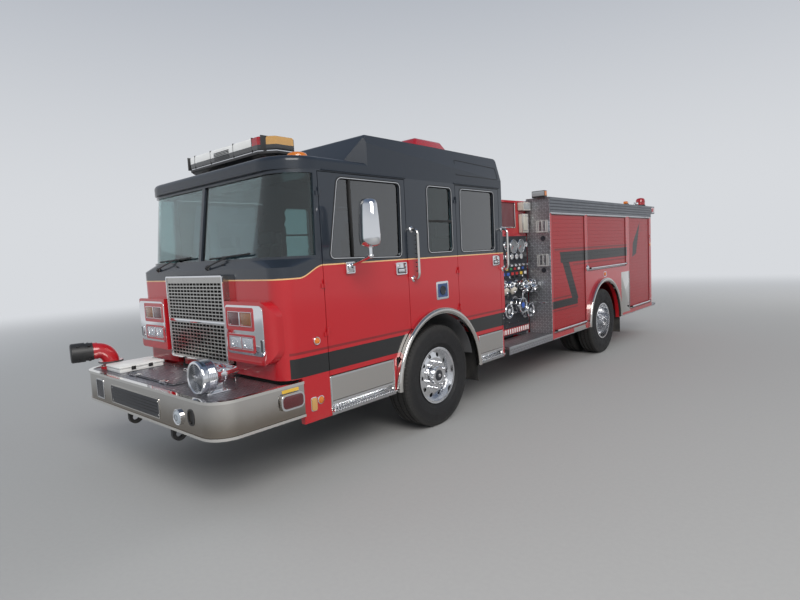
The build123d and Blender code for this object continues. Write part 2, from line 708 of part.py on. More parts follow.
def write_axles():
    y = FRONT_AXLE_Y
    # Front beam: an I-section dropped between its spring seats, with a bored boss at each kingpin.
    outline = [
        (-KINGPIN_X, 505),
        (-640, 505),
        (-560, 440),
        (560, 440),
        (640, 505),
        (KINGPIN_X, 505),
        (KINGPIN_X, 575),
        (620, 575),
        (540, 520),
        (-540, 520),
        (-620, 575),
        (-KINGPIN_X, 575),
    ]
    beam = front_prism(outline, (-45, 45))
    for side in (-1, 1):
        x = side * KINGPIN_X
        beam = beam + rod((x, y, AXLE_Z - 50), (x, y, AXLE_Z + 50), KINGPIN_BOSS)
        beam = beam - rod((x, y, AXLE_Z - 60), (x, y, AXLE_Z + 60), KINGPIN_RADIUS + 0.05)
    springs = []
    for side in (-1, 1):
        x = (side * SPRING_X - SPRING_HALF_WIDTH, side * SPRING_X + SPRING_HALF_WIDTH)
        leaf = side_prism(
            [(-760, 640), (-420, 560), (0, 516), (420, 560), (760, 640), (760, 655), (420, 590), (0, 575), (-420, 590), (-760, 655)], x
        )
        springs += [leaf]
        for station in (-760, 760):
            springs += [
                block(sorted((side * RAIL_OUTER, side * (SPRING_X + SPRING_HALF_WIDTH))), (y + station - 30, y + station + 30), (630, 760))
            ]
    track_rod = rod((-700, y + 150, 480), (700, y + 150, 480), 17)
    arms = [block((side * 620 - 20, side * 620 + 20), (y + 44, y + 165), (470, 515)) for side in (-1, 1)]
    axle = beam + track_rod
    for piece in springs + arms:
        axle = axle + piece
    write("front_axle", axle)
    knuckle = (
        rod((KINGPIN_X, y, AXLE_Z + 50.3), (KINGPIN_X, y, AXLE_Z + 50.3 + EAR), KINGPIN_BOSS)
        + rod((KINGPIN_X, y, AXLE_Z - 50.3 - EAR), (KINGPIN_X, y, AXLE_Z - 50.3), KINGPIN_BOSS)
        + block((KINGPIN_X, KINGPIN_X + 92), (y - 40, y + 40), (AXLE_Z + 50.3, AXLE_Z + 50.3 + EAR))
        + block((KINGPIN_X, KINGPIN_X + 92), (y - 40, y + 40), (AXLE_Z - 50.3 - EAR, AXLE_Z - 50.3))
        + block((KINGPIN_X + 62, KINGPIN_X + 92), (y - 60, y + 60), (AXLE_Z - 50.3 - EAR, AXLE_Z + 50.3 + EAR))
        + rod((KINGPIN_X, y, AXLE_Z - 60), (KINGPIN_X, y, AXLE_Z + 60), KINGPIN_RADIUS)
        + rod((KINGPIN_X + 80, y, AXLE_Z), (FRONT_TRACK_HALF + 62 + 57, y, AXLE_Z), SPINDLE_RADIUS)
        + rod((KINGPIN_X + 80, y, AXLE_Z), (FRONT_TRACK_HALF - 9, y, AXLE_Z), SPINDLE_RADIUS + 28)
    )
    for side, turn in (("left", lambda s: s), ("right", mirrored)):
        write(f"{side}_knuckle", turn(knuckle))
    write_rear_axle()


def write_rear_axle():
    y = REAR_AXLE_Y
    face = REAR_OUTER_HALF - DUAL_SPACING / 2
    housing = rod((-face + 92, y, AXLE_Z), (face - 92, y, AXLE_Z), 78)
    housing = housing + rod((-face - 95, y, AXLE_Z), (face + 95, y, AXLE_Z), REAR_SPINDLE)
    bowl = Pos(0, y, AXLE_Z) * Sphere(205)
    nose = rod((0, y - 330, AXLE_Z + 25), (0, y, AXLE_Z + 25), 90)
    housing = housing + bowl + nose
    shaft = rod((0, at(425), 650), (0, y - 325, AXLE_Z + 25), 52)
    housing = housing + shaft
    for side in (-1, 1):
        x = (side * SPRING_X - SPRING_HALF_WIDTH, side * SPRING_X + SPRING_HALF_WIDTH)
        leaf = side_prism(
            [
                (WHEELBASE - 720, 720),
                (WHEELBASE, 612),
                (WHEELBASE + 720, 720),
                (WHEELBASE + 720, 740),
                (WHEELBASE, 690),
                (WHEELBASE - 720, 740),
            ],
            x,
        )
        housing = housing + leaf
        for station in (WHEELBASE - 720, WHEELBASE + 720):
            housing = housing + block(
                sorted((side * RAIL_OUTER, side * (SPRING_X + SPRING_HALF_WIDTH))),
                (at(station) - 30, at(station) + 30),
                (712, 800),
            )
    write("rear_axle", housing)


def write_chassis():
    x0, x1 = RAIL_OUTER - RAIL_FLANGE, RAIL_OUTER
    section = [
        (x1, RAIL_LOW),
        (x1, RAIL_TOP),
        (x0, RAIL_TOP),
        (x0, RAIL_TOP - RAIL_SHEET),
        (x1 - RAIL_SHEET, RAIL_TOP - RAIL_SHEET),
        (x1 - RAIL_SHEET, RAIL_LOW + RAIL_SHEET),
        (x0, RAIL_LOW + RAIL_SHEET),
        (x0, RAIL_LOW),
    ]
    rail = front_prism(section, (RAIL_FRONT, RAIL_BACK))
    frame = rail + mirrored(rail)
    reach = x1 - RAIL_SHEET - RUN
    members = [slab((-reach, reach), (station - 40, station + 40), (RAIL_LOW + 75, RAIL_TOP - 20)) for station in CROSSMEMBERS]
    # Cab mounts and body outriggers stand on the rails.
    for station in (-1750, -250, 1200):
        for side in (-1, 1):
            mount = slab(sorted((side * 330, side * 430)), (station - 60, station + 60), (RAIL_TOP - 5, CAB_FLOOR_TOP - FLOOR_SHEET))
            frame = frame + mount
    # Two ears each side carry the pins of the tilting cab.
    pivot_y, pivot_z = at(CAB_PIVOT[0]), CAB_PIVOT[1]
    (inner_ear, outer_ear) = CAB_EARS_X
    stand = block((400, outer_ear[1]), (pivot_y - CAB_EAR, pivot_y + CAB_EAR), (RAIL_TOP - 5, RAIL_TOP + 26))
    for x0, x1 in CAB_EARS_X:
        stand = stand + block((x0, x1), (pivot_y - CAB_EAR_FRONT, pivot_y + CAB_EAR), (RAIL_TOP, pivot_z))
        stand = stand + rod((x0, pivot_y, pivot_z), (x1, pivot_y, pivot_z), CAB_EAR)
    stand = stand + rod((inner_ear[0], pivot_y, pivot_z), (outer_ear[1], pivot_y, pivot_z), CAB_PIN)
    frame = frame + mirrored_pair(stand)
    # Tow eyes hang under the front of the rails.
    eye_y = at(TOW_EYE[0])
    for side in (-1, 1):
        x = sorted((side * TOW_EYE_X[0], side * TOW_EYE_X[1]))
        eye = rod((x[0], eye_y, TOW_EYE[1]), (x[1], eye_y, TOW_EYE[1]), TOW_EYE_OUTER)
        eye = eye + block(x, (eye_y - TOW_EYE_OUTER, eye_y + TOW_EYE_OUTER), (TOW_EYE[1], RAIL_LOW + 60))
        frame = frame + (eye - rod((x[0] - 5, eye_y, TOW_EYE[1]), (x[1] + 5, eye_y, TOW_EYE[1]), TOW_EYE_BORE))
    write("chassis_frame", frame, members)
    engine = slab((-330, 330), (-1500, -350), (640, 1430)) + slab((-200, 200), (-350, 420), (600, 900))
    engine = engine - slab((-400, 400), (-740, -560), (RAIL_LOW, RAIL_TOP))
    web = RAIL_OUTER - RAIL_SHEET
    for station in (-1250, -430):
        engine = engine + slab((-web, web), (station - 40, station + 40), (700, 760))
    write("engine_block", engine)
    tank = slab((-320, 320), (5600, 6800), (330, 585))
    tank = fillet(tank.edges().filter_by(Axis.Y), 60)
    for station in (5900, 6500):
        tank = tank + slab((-RAIL_OUTER, RAIL_OUTER), (station - 30, station + 30), (580, RAIL_LOW))
    write("fuel_tank", tank)


# Front end

def bumper_wrap(inset, z0, z1):
    """The plan outline of the bumper, drawn in by inset, between two heights."""
    half = BODY_HALF - inset
    y0, y1 = at(-FRONT_OVERHANG) + inset, at(BUMPER_BACK)
    section = Pos(0, (y0 + y1) / 2, z0) * Rectangle(2 * half, y1 - y0)
    section = fillet(section.vertices().group_by(Axis.Y)[0], BUMPER_CORNER - inset)
    return extrude(section, z1 - z0)


def write_bumper():
    skin = bumper_wrap(0, BUMPER_LOW, BUMPER_TOP) - bumper_wrap(BUMPER_SHEET, BUMPER_LOW - 5, BUMPER_TOP + 5)
    for z0, z1 in ((BUMPER_LOW, BUMPER_LOW + 8), (BUMPER_TOP - 8, BUMPER_TOP)):
        lip = bumper_wrap(2, z0, z1) - bumper_wrap(BUMPER_LIP, z0 - 5, z1 + 5)
        skin = skin + lip
    for z0, z1 in ((BUMPER_LOW, BUMPER_LOW + 22), (BUMPER_TOP - 22, BUMPER_TOP)):
        bead = bumper_wrap(-BUMPER_BEAD, z0, z1) - bumper_wrap(4, z0 - 5, z1 + 5)
        skin = skin + bead
    # A lamp housing near the back end of each side
    skin = skin + mirrored_pair(slab((BODY_HALF - 2, BODY_HALF + 24), (-2078, -1872), (700, 812)))
    face = -FRONT_OVERHANG
    # Recesses in the face: x from, x to, z from, z to, depth
    for x0, x1, z0, z1, deep in (
        (-905, -750, 655, 818, 7),
        (-565, 385, 652, 802, 4),
        (862, 938, 690, 792, 40),
    ):
        skin = skin - slab((x0, x1), (face - 5, face + deep), (z0, z1))
    siren_light = rod((712, at(face + 4), 716), (712, at(face - 14), 716), 58)
    write("front_bumper", skin + siren_light)
    write_deck()


def write_deck():
    top = BUMPER_TOP - RUN
    deck = bumper_wrap(BUMPER_SHEET + 1, top - 8 - DECK_SHEET, top - 8) & slab(
        (-BODY_HALF, BODY_HALF), (-FRONT_OVERHANG, DECK_BACK), (0, top)
    )
    (wx0, wx1), (wy0, wy1) = WELL
    well = slab((wx0 - 6, wx1 + 6), (wy0 - 6, wy1 + 6), (top - WELL_DEPTH, top - 10))
    inner = slab((wx0, wx1), (wy0, wy1), (top - WELL_DEPTH + 6, top + 5))
    deck = deck + well - inner
    tray = slab(TRAY_X, (-2520, -2115), (top - 12, top + 52))
    tray = fillet(tray.edges().group_by(Axis.Z)[-1], 14)
    deck = deck + tray
    # Outrigger arms carry the deck from the frame rails.
    for station in (-2540, -2060):
        arm = slab((155 - BODY_HALF, BODY_HALF - 155), (station - 25, station + 25), (RAIL_TOP, top - 8 - DECK_SHEET))
        deck = deck + (arm - slab((wx0 - 3, wx1 + 3), (wy0 - 3, wy1 + 3), (700, 900)))
    # The lid turns on pins at its front edge, each held between two eyes.
    pin_y, pin_z = at(LID_Y[0]), top - 8 + LID_SEAT + LID_SHEET / 2
    lid = slab(LID_X, (LID_Y[0] + 9, LID_Y[1]), (top - 8 + LID_SEAT, top - 8 + LID_SEAT + LID_SHEET))
    for x in (LID_X[0] + 160, LID_X[1] - 145):
        lid = lid + rod((x - 40, pin_y, pin_z), (x + 40, pin_y, pin_z), 6)
        lid = lid + block((x - 40, x + 40), (pin_y, pin_y + 10), (pin_z - 4, pin_z + 4))
        lid = lid + rod((x - 60, pin_y, pin_z), (x + 60, pin_y, pin_z), LID_PIN)
        for side in (-1, 1):
            ends = sorted((x + side * (40 + RUN), x + side * 64))
            eye = rod((ends[0], pin_y, pin_z), (ends[1], pin_y, pin_z), 8)
            eye = eye + block(ends, (pin_y - 8, pin_y + 6), (top - 9, pin_z))
            deck = deck + (eye - rod((ends[0] - 5, pin_y, pin_z), (ends[1] + 5, pin_y, pin_z), LID_PIN + SHAFT_RUN))
    write("bumper_deck", deck)
    write("hose_well_lid", lid)


def write_grille():
    half, low, high = 505, 986, 1745
    front, back = -2062, CAB_FRONT
    mesh = slab((-half, half), (front, front + 30), (low, high))
    # Openings in two fields, above and below the cross bar: z from, z to, rows
    for z0, z1, rows in ((1005, 1322, 10), (1352, 1690, 11)):
        columns = 16
        wide, tall = (2 * half - 50) / columns, (z1 - z0) / rows
        place = Pos(0, at(front) + 15, (z0 + z1) / 2) * Rot(90, 0, 0)
        mesh = mesh - place * GridLocations(wide, tall, columns, rows) * Box(wide - 11, tall - 11, 60)
    surround = slab((-half, half), (front, back), (low, high)) - slab(
        (-half + 22, half - 22), (front - 5, back + 5), (low + 18, high - 18)
    )
    write("grille", mesh + surround)


def write_headlights():
    low, high = 1036, 1535
    x0, outer = 548, CAB_HALF - 42
    front = -2088
    plan = Pos(0, (at(front) + at(-1900)) / 2, low) * Rectangle(2 * outer, at(-1900) - at(front))
    plan = fillet(plan.vertices().group_by(Axis.Y)[0], 85)
    shape = extrude(plan, high - low) - cab_lower(-RUN) - slab((-x0, x0), (front - 5, -1900), (low - 5, high + 5))
    # Seen from the front its outer corners are round.
    outline = make_face(Polyline([(x0, low), (outer, low), (outer, high), (x0, high)], close=True))
    outline = fillet(outline.vertices().group_by(Axis.X)[-1], 120)
    housing = shape & extrude(Pos(0, at(front) - 5, 0) * (Plane.XZ * outline), 200, dir=(0, 1, 0))
    # Pockets for the lamp pairs: z from, z to
    for z0, z1 in ((1142, 1258), (1330, 1462)):
        housing = housing - slab((600, 958), (front - 5, front + 22), (z0, z1))
    write("headlight_bezels", both(housing))
    lamps = []
    for z0, z1 in ((1147, 1253), (1336, 1456)):
        for a, b in ((606, 775), (783, 952)):
            lamps.append(slab((a, b), (front + 4, front + 22), (z0, z1)))
    markers = [rod((CAB_HALF, at(-1668), SIDE_MARKER_Z), (CAB_HALF + 30, at(-1668), SIDE_MARKER_Z), 34)]
    write("headlamps", *[both(piece) for piece in lamps + markers])


def write_front_fittings():
    # Suction elbow: a flange on the deck, a quarter bend, then a capped outlet pointing out and forward.
    base = Vector(ELBOW_PLACE[0], at(ELBOW_PLACE[1]), BUMPER_TOP - 8)
    bend, pipe = ELBOW_BEND, ELBOW_PIPE
    turn = math.radians(ELBOW_HEADING)
    way = Vector(-math.sin(turn), -math.cos(turn), 0)
    foot = rod(tuple(base), (base.X, base.Y, base.Z + 26), 95)
    riser = rod((base.X, base.Y, base.Z + 20), (base.X, base.Y, base.Z + 72), pipe)
    ring = rod((base.X, base.Y, base.Z + 58), (base.X, base.Y, base.Z + 74), 108)
    start = base + Vector(0, 0, 72)
    plane = Plane(origin=start, x_dir=way, z_dir=Vector(0, 0, 1))
    path_plane = Plane(origin=start, x_dir=way, z_dir=way.cross(Vector(0, 0, 1)))
    path = path_plane * CenterArc((bend, 0), bend, 90, 90)
    elbow = sweep(plane * Circle(pipe), path=path)
    mouth = start + way * bend + Vector(0, 0, bend)
    collar = rod(tuple(mouth - way * 4), tuple(mouth + way * CAP_START), 82)
    write("suction_elbow", foot + riser + ring + elbow + collar)
    cap_start = mouth + way * CAP_START
    cap = rod(tuple(cap_start), tuple(cap_start + way * 70), 86)
    cap = cap + rod(tuple(cap_start + way * 70), tuple(cap_start + way * CAP_LENGTH), CAP_RADIUS)
    face = cap.faces().sort_by(Axis.Y)[0]
    cap = fillet(face.edges(), CAP_ROUND)
    for place in (36, 128):
        for n in range(4):
            turn = math.radians(45 + 90 * n)
            side = way.cross(Vector(0, 0, 1)) * math.cos(turn) + Vector(0, 0, 1) * math.sin(turn)
            lug = cap_start + way * place + side * 88
            cap = cap + rod(tuple(lug - side * 14), tuple(lug + side * 18), 13)
    write("suction_cap", cap)
    write_siren()


def write_siren():
    """A mechanical siren: a deep round rotor housing with a bullet-shaped motor, on a foot."""
    x, z = BODY_HALF - 355, 1015
    front = -2566
    body = Rot(0, 0, 90) * lathe(
        [
            (0, 0),
            (0, 104),
            (6, 124),
            (16, 130),
            (112, 126),
            (134, 104),
            (150, 84),
            (250, 64),
            (345, 30),
            (362, 22),
            (366, 0),
        ]
    )
    body = Pos(x, at(front), z) * body
    foot = slab((x - 60, x + 60), (front + 60, front + 250), (BUMPER_TOP - 8, BUMPER_TOP + 6))
    leg = slab((x - 35, x + 35), (front + 90, front + 210), (BUMPER_TOP, z - 20))
    write("siren", body + foot + leg)


def write_roof_lights():
    # Front lightbar: a long low case with cut-back ends, on two feet.
    z0, z1 = 2782, 2938
    y0, y1 = at(-1670), at(-1310)
    plan = make_face(
        Polyline(
            [(-585, y0), (585, y0), (715, y0 + 110), (715, y1 - 60), (640, y1), (-640, y1), (-715, y1 - 60), (-715, y0 + 110)], close=True
        )
    )
    bar = extrude(Pos(0, 0, z0) * plan, z1 - z0)
    bar = fillet(bar.edges().group_by(Axis.Z)[-1], 30)
    for side in (-1, 1):
        bar = bar + block(sorted((side * 380, side * 520)), (y0 + 80, y1 - 80), (LOW_ROOF_Z, z0))
    beacons = [bar]
    beacon_x = CAB_HALF - 360
    base = slab((beacon_x - 160, beacon_x + 160), (-30, 590), (RAISED_ROOF_Z, RAISED_ROOF_Z + 22))
    dome_low = Pos(beacon_x, at(280), RAISED_ROOF_Z + 22) * Rectangle(310, 610)
    dome_high = Pos(beacon_x, at(280), RAISED_ROOF_Z + 140) * Rectangle(200, 430)
    beacons += both(base + loft([dome_low, dome_high], ruled=True))
    for x in (CAB_HALF - 205,):
        marker = Pos(x, at(-1575), LOW_ROOF_Z) * Cylinder(96, 58, align=(Align.CENTER, Align.CENTER, Align.MIN))
        beacons += both(fillet(marker.edges().group_by(Axis.Z)[-1], 44))
    write("roof_lights", *[[b] for b in beacons])


def write_rear_lamps():
    """Lamp stacks on the rear corners and a round beacon on each rear roof corner."""
    lamps = [slab((BODY_HALF - 235, BODY_HALF - 65), (BODY_BACK, BODY_BACK + 30), (z0, z0 + 170)) for z0 in REAR_LAMPS_Z]
    pot = Pos(BODY_HALF - 125, at(6900), BODY_TOP) * Cylinder(92, 175, align=(Align.CENTER, Align.CENTER, Align.MIN))
    lamps.append(fillet(pot.edges().group_by(Axis.Z)[-1], 40))
    write("rear_lamps", *[both(lamp) for lamp in lamps])


# Cab fittings

def bent_rail(points, radius, corner):
    """A round rail along straight runs joined by arcs."""
    path = FilletPolyline(*points, radius=corner)
    start = path ^ 0
    return sweep(Plane(origin=path @ 0, z_dir=path % 0) * Circle(radius), path=path)


def write_grab_rails():
    rails = []
    # Rails stand beside each door opening: station
    out, top, low = 78, 2085, 1600
    for station in (-390, CAB_BACK - 28):
        x, y = CAB_HALF, at(station)
        points = [(x, y, top), (x + out, y, top), (x + out, y, low), (x, y, low)]
        rails += both(bent_rail(points, 15, 50))
    write("grab_rails", *[[r] for r in rails])


def write_side_steps():
    """Polished step boxes under the doors, each with a serrated lower tread, and the pump running boards."""
    steps = []
    x = CAB_HALF
    # Step boxes: front station, back station
    for front, back in ((FRONT_DOOR[0] + RUN, -ARCH_RADIUS - TRIM_WIDTH - 12), (ARCH_RADIUS + TRIM_WIDTH + 12, CREW_DOOR[1] - RUN)):
        panel = slab((x - 14, x), (front, back), (614, DOOR_LOW - 8))
        tread = slab((x - 320, x), (front, back), (DOOR_LOW - 26, DOOR_LOW - 8))
        riser = slab((x - 320, x - 308), (front, back), (SKIRT_LOW, DOOR_LOW - 10))
        lower = slab((x - 320, x + 6), (front, back), (SKIRT_LOW + 30, SKIRT_LOW + 42))
        lip = slab((x - 6, x + 6), (front, back), (SKIRT_LOW, SKIRT_LOW + 42))
        ends = [slab((x - 320, x - 2), (place, place + 10), (SKIRT_LOW + 30, DOOR_LOW - 10)) for place in (front, back - 10)]
        step = panel + tread + riser + lower + lip
        for end in ends:
            step = step + end
        teeth = int((back - front - 60) // 40)
        for n in range(teeth):
            place = front + 40 + 40 * n
            step = step + slab((x - 22, x + 6), (place, place + 16), (SKIRT_LOW + 40, SKIRT_LOW + 54))
        # A stay joins the box to the cab floor above it.
        step = step + slab((x - 320, x - 296), (front + 100, front + 160), (DOOR_LOW - 10, CAB_FLOOR_TOP - FLOOR_SHEET))
        steps += both(step)
    write("cab_steps", *[[s] for s in steps])


def write_running_boards():
    """Treadplate boards beside the pump and across the tail."""
    board = slab((PUMP_HALF + PANEL_SHEET, BODY_HALF), (PUMP_FRONT - 20, PUMP_BACK + 10), (BOARD_TOP - BOARD_SHEET, BOARD_TOP))
    board = board + slab((BODY_HALF - 8, BODY_HALF), (PUMP_FRONT - 20, PUMP_BACK + 10), (BODY_LOW, BOARD_TOP))
    board = board + slab((RAIL_OUTER, PUMP_HALF + PANEL_SHEET), (PUMP_FRONT + 40, PUMP_FRONT + 100), (BOARD_TOP - BOARD_SHEET, PUMP_LOW))
    board = board + slab((RAIL_OUTER, PUMP_HALF + PANEL_SHEET), (PUMP_BACK - 100, PUMP_BACK - 40), (BOARD_TOP - BOARD_SHEET, PUMP_LOW))
    tail = slab((-BODY_HALF, BODY_HALF), (BODY_BACK, REAR_OVERHANG + WHEELBASE), (BODY_LOW, BODY_LOW + 45))
    tail = tail + slab((-RAIL_OUTER - 40, RAIL_OUTER + 40), (RAIL_BACK, BODY_BACK), (BODY_LOW, BODY_LOW + 45))
    tail = tail + slab((-RAIL_OUTER, RAIL_OUTER), (RAIL_BACK, BODY_BACK - 5), (BODY_LOW + 45, RAIL_TOP))
    write("running_boards", both(board), tail)


def write_interior():
    inner = CAB_HALF - CAB_WALL
    # Dashboard: a shaped shelf behind the windshield, with the steering column and wheel on the left.
    outline = [(-1935, 1500), (-1935, 1700), (-1900, 1790), (-1650, 1790), (-1590, 1700), (-1620, 1500)]
    dash = side_prism(outline, (-inner + 110, inner - 110))
    legs = slab((-460, -441), (-1930, -1700), (CAB_FLOOR_TOP, 1510)) + slab((441, 460), (-1930, -1700), (CAB_FLOOR_TOP, 1510))
    dash = dash + legs
    hub = Vector(720, at(-1430), 1690)
    axis = Vector(0, 0.62, 0.78).normalized()
    column = rod((720, at(-1640), 1428), tuple(hub), 34)
    column = column + rod((720, at(-1640), 1428), (720, at(-1640), CAB_FLOOR_TOP), 34)
    wheel_plane = Plane(origin=hub, z_dir=axis)
    wheel = wheel_plane * Torus(225, 16)
    wheel = wheel + wheel_plane * Cylinder(52, 30)
    for n in range(4):
        turn = math.radians(45 + 90 * n)
        end = wheel_plane.from_local_coords(Vector(math.cos(turn) * 222, math.sin(turn) * 222, 0))
        wheel = wheel + rod(tuple(hub), tuple(end), 12)
    write("dashboard", dash + column + wheel)
    seats = []
    # Seats: x of the middle, station of the seat front, station of the seat back, way it faces (1 is forward)
    for x, front, back in ((760, -1120, -640), (-760, -1120, -640), (640, 560, 1040), (0, 560, 1040), (-640, 560, 1040)):
        pan = slab((x - 240, x + 240), (front, back), (1440, 1560))
        rest = slab((x - 235, x + 235), (back, back + 110), (1440, 2200))
        box = slab((x - 200, x + 200), (front + 40, back + 90), (CAB_FLOOR_TOP, 1440))
        seats += [pan + rest + box]
    write("seats", *[[s] for s in seats])


# Pump house and body

def write_pump_house():
    outer = slab((-PUMP_HALF, PUMP_HALF), (PUMP_FRONT, PUMP_BACK), (PUMP_LOW, PUMP_TOP))
    room = slab((-PUMP_HALF + 30, PUMP_HALF - 30), (PUMP_FRONT + 30, PUMP_BACK - 30), (PUMP_LOW - 5, CROSSLAY_LOW - 40))
    bed = slab((-PUMP_HALF - 5, PUMP_HALF + 5), (PUMP_FRONT + 40, CROSSLAY_BACK), (CROSSLAY_LOW, PUMP_TOP - 30))
    house = outer - room - bed
    house = house - slab((-RAIL_OUTER - 10, RAIL_OUTER + 10), (PUMP_FRONT - 5, PUMP_BACK + 5), (PUMP_LOW - 5, RAIL_TOP + 10))
    # The pump itself is one heavy block inside, hung between the frame rails.
    for side in (-1, 1):
        for station in (PUMP_FRONT + 120, PUMP_BACK - 120):
            house = house + slab(sorted((side * 350, side * (RAIL_OUTER + 40))), (station - 40, station + 40), (RAIL_TOP, RAIL_TOP + 60))
            house = house + slab(
                sorted((side * (RAIL_OUTER + 20), side * (PUMP_HALF - 10))), (station - 40, station + 40), (RAIL_TOP, RAIL_TOP + 60)
            )
    flange = Pos(0, at(MONITOR_STATION), PUMP_TOP) * Cylinder(110, 24, align=(Align.CENTER, Align.CENTER, Align.MIN))
    write("pump_house", house + flange)
    flap = slab(
        (PUMP_HALF - 18, PUMP_HALF - 2),
        (PUMP_FRONT + 40 + RUN, CROSSLAY_BACK - RUN),
        (CROSSLAY_LOW + RUN, PUMP_TOP - 30 - RUN),
    )
    write("crosslay_flaps", both(flap))
    write_pump_panels()


MONITOR_STATION = 1990

# Gauges: station, height, radius. Discharges and inlets: station, height, radius, length.
GAUGES = ((1790, 1880, 62), (1950, 1880, 62), (2150, 1870, 95), (2360, 1870, 95), (2500, 1890, 40))
SMALL_GAUGES = ((1700, 1730, 42), (1830, 1730, 42), (1960, 1730, 42), (2090, 1730, 42), (2220, 1730, 42), (2350, 1730, 42))
PULLS = tuple((1660 + 110 * n, 1610) for n in range(8))
DISCHARGES = ((1700, 1340, 48, 120), (1900, 1340, 48, 120), (2220, 1330, 60, 150), (2440, 1330, 60, 150))
INLETS = ((1820, 1010, 88, 110), (2150, 1060, 95, 140), (2440, 960, 88, 100))


def write_pump_panels():
    """The operator's panels: a plate each side with bezels, pull handles, capped discharges and inlets."""
    x = PUMP_HALF + PANEL_SHEET
    panel = slab((PUMP_HALF, x), (PUMP_FRONT + 20, PUMP_BACK - 4), (PANEL_LOW, PANEL_HIGH))
    for station, z, radius in GAUGES + SMALL_GAUGES:
        panel = panel + rod((x - 2, at(station), z), (x + 24, at(station), z), radius)
        panel = panel - rod((x + 18, at(station), z), (x + 30, at(station), z), radius - 8)
    for station, z in PULLS:
        panel = panel + rod((x - 2, at(station), z), (x + 70, at(station), z), 8)
        panel = panel + slab((x + 66, x + 84), (station - 26, station + 26), (z - 13, z + 13))
    for station, z, radius, length in DISCHARGES + INLETS:
        panel = panel + rod((x - 2, at(station), z), (x + 14, at(station), z), radius + 26)
        panel = panel + rod((x + 10, at(station), z), (x + length * 0.6, at(station), z), radius)
        panel = panel + rod((x + length * 0.6, at(station), z), (x + length, at(station), z), radius + 12)
        panel = panel + slab(
            (x + length * 0.7, x + length * 0.9), (station - radius - 30, station + radius + 30), (z - 9, z + 9)
        )
    kick = slab((PUMP_HALF, x), (PUMP_FRONT + 20, PUMP_BACK - 4), (PUMP_LOW, PANEL_LOW - 4))
    slots = [slab((PUMP_HALF - 5, x + 5), (1480 + 75 * n, 1505 + 75 * n), (690, 750)) for n in range(14)]
    for slot in slots:
        kick = kick - slot
    boxes = [
        slab((PUMP_HALF, PUMP_HALF + 92), (2352, 2560), (2362, 2478)),
        slab((PUMP_HALF, PUMP_HALF + 60), (2372, 2548), (2052, 2318)),
    ]
    write("pump_panels", both(panel), both(kick), *[both(box) for box in boxes])


def write_monitor():
    """The swivelling water monitor that stands on the flange of the pump house roof."""
    x, y = 0, at(MONITOR_STATION)
    start = PUMP_TOP + 24 + RUN
    post = rod((x, y, start), (x, y, start + 120), 62)
    turn = rod((x, y, start + 100), (x, y + 150, start + 180), 55)
    nozzle = rod((x, y + 120, start + 165), (x, y + 420, start + 215), 48)
    tip = rod((x, y + 420, start + 215), (x, y + 520, start + 232), 62)
    write("deck_monitor", post + Pos(x, y, start + 130) * Sphere(72) + turn + nozzle + tip)


def write_body():
    inner = BODY_INNER
    side = slab((inner, BODY_HALF), (BODY_FRONT, BODY_BACK), (BODY_LOW, RAIL_LINE))
    room_low = BODY_LOW + BODY_SHEET
    for front, back, sill in COMPARTMENTS:
        floor = room_low if sill < 1000 else sill
        side = side - slab((inner + BODY_SHEET, BODY_HALF - 2 * BODY_SHEET), (front, back), (floor, RAIL_LINE - BODY_SHEET))
        side = side - slab((BODY_HALF - 2 * BODY_SHEET - 5, BODY_HALF + 5), (front, back), (sill, SHUTTER_TOP))
    side = side - arch_tool(REAR_AXLE_Y, (inner - 5, BODY_HALF + 5), ARCH_RADIUS)
    side = side - slab((inner - 5, BODY_HALF - 2 * BODY_SHEET), (3860, 5780), (0, 1270))
    write("body_sides", both(side))
    deck = slab((-inner, inner), (BODY_FRONT, BODY_BACK), (HOSE_FLOOR_Z - 30, HOSE_FLOOR_Z))
    front_wall = slab((-inner, inner), (BODY_FRONT, BODY_FRONT + 30), (RAIL_TOP + 60, BODY_TOP - 40))
    back_wall = slab((-inner, inner), (BODY_BACK - 30, BODY_BACK), (RAIL_TOP + 60, HOSE_FLOOR_Z))
    inner_rails = slab((inner - 20, inner), (BODY_FRONT, BODY_BACK), (HOSE_FLOOR_Z - 30, BODY_TOP - 40))
    bed = deck + front_wall + back_wall + inner_rails + mirrored(inner_rails)
    for station in (2900, 3800, 5600, 6800):
        for way in (-1, 1):
            bed = bed + slab(sorted((way * 360, way * 430)), (station - 50, station + 50), (RAIL_TOP, HOSE_FLOOR_Z - 25))
    write("hose_bed", bed)
    write_shutters()
    write_body_trim()


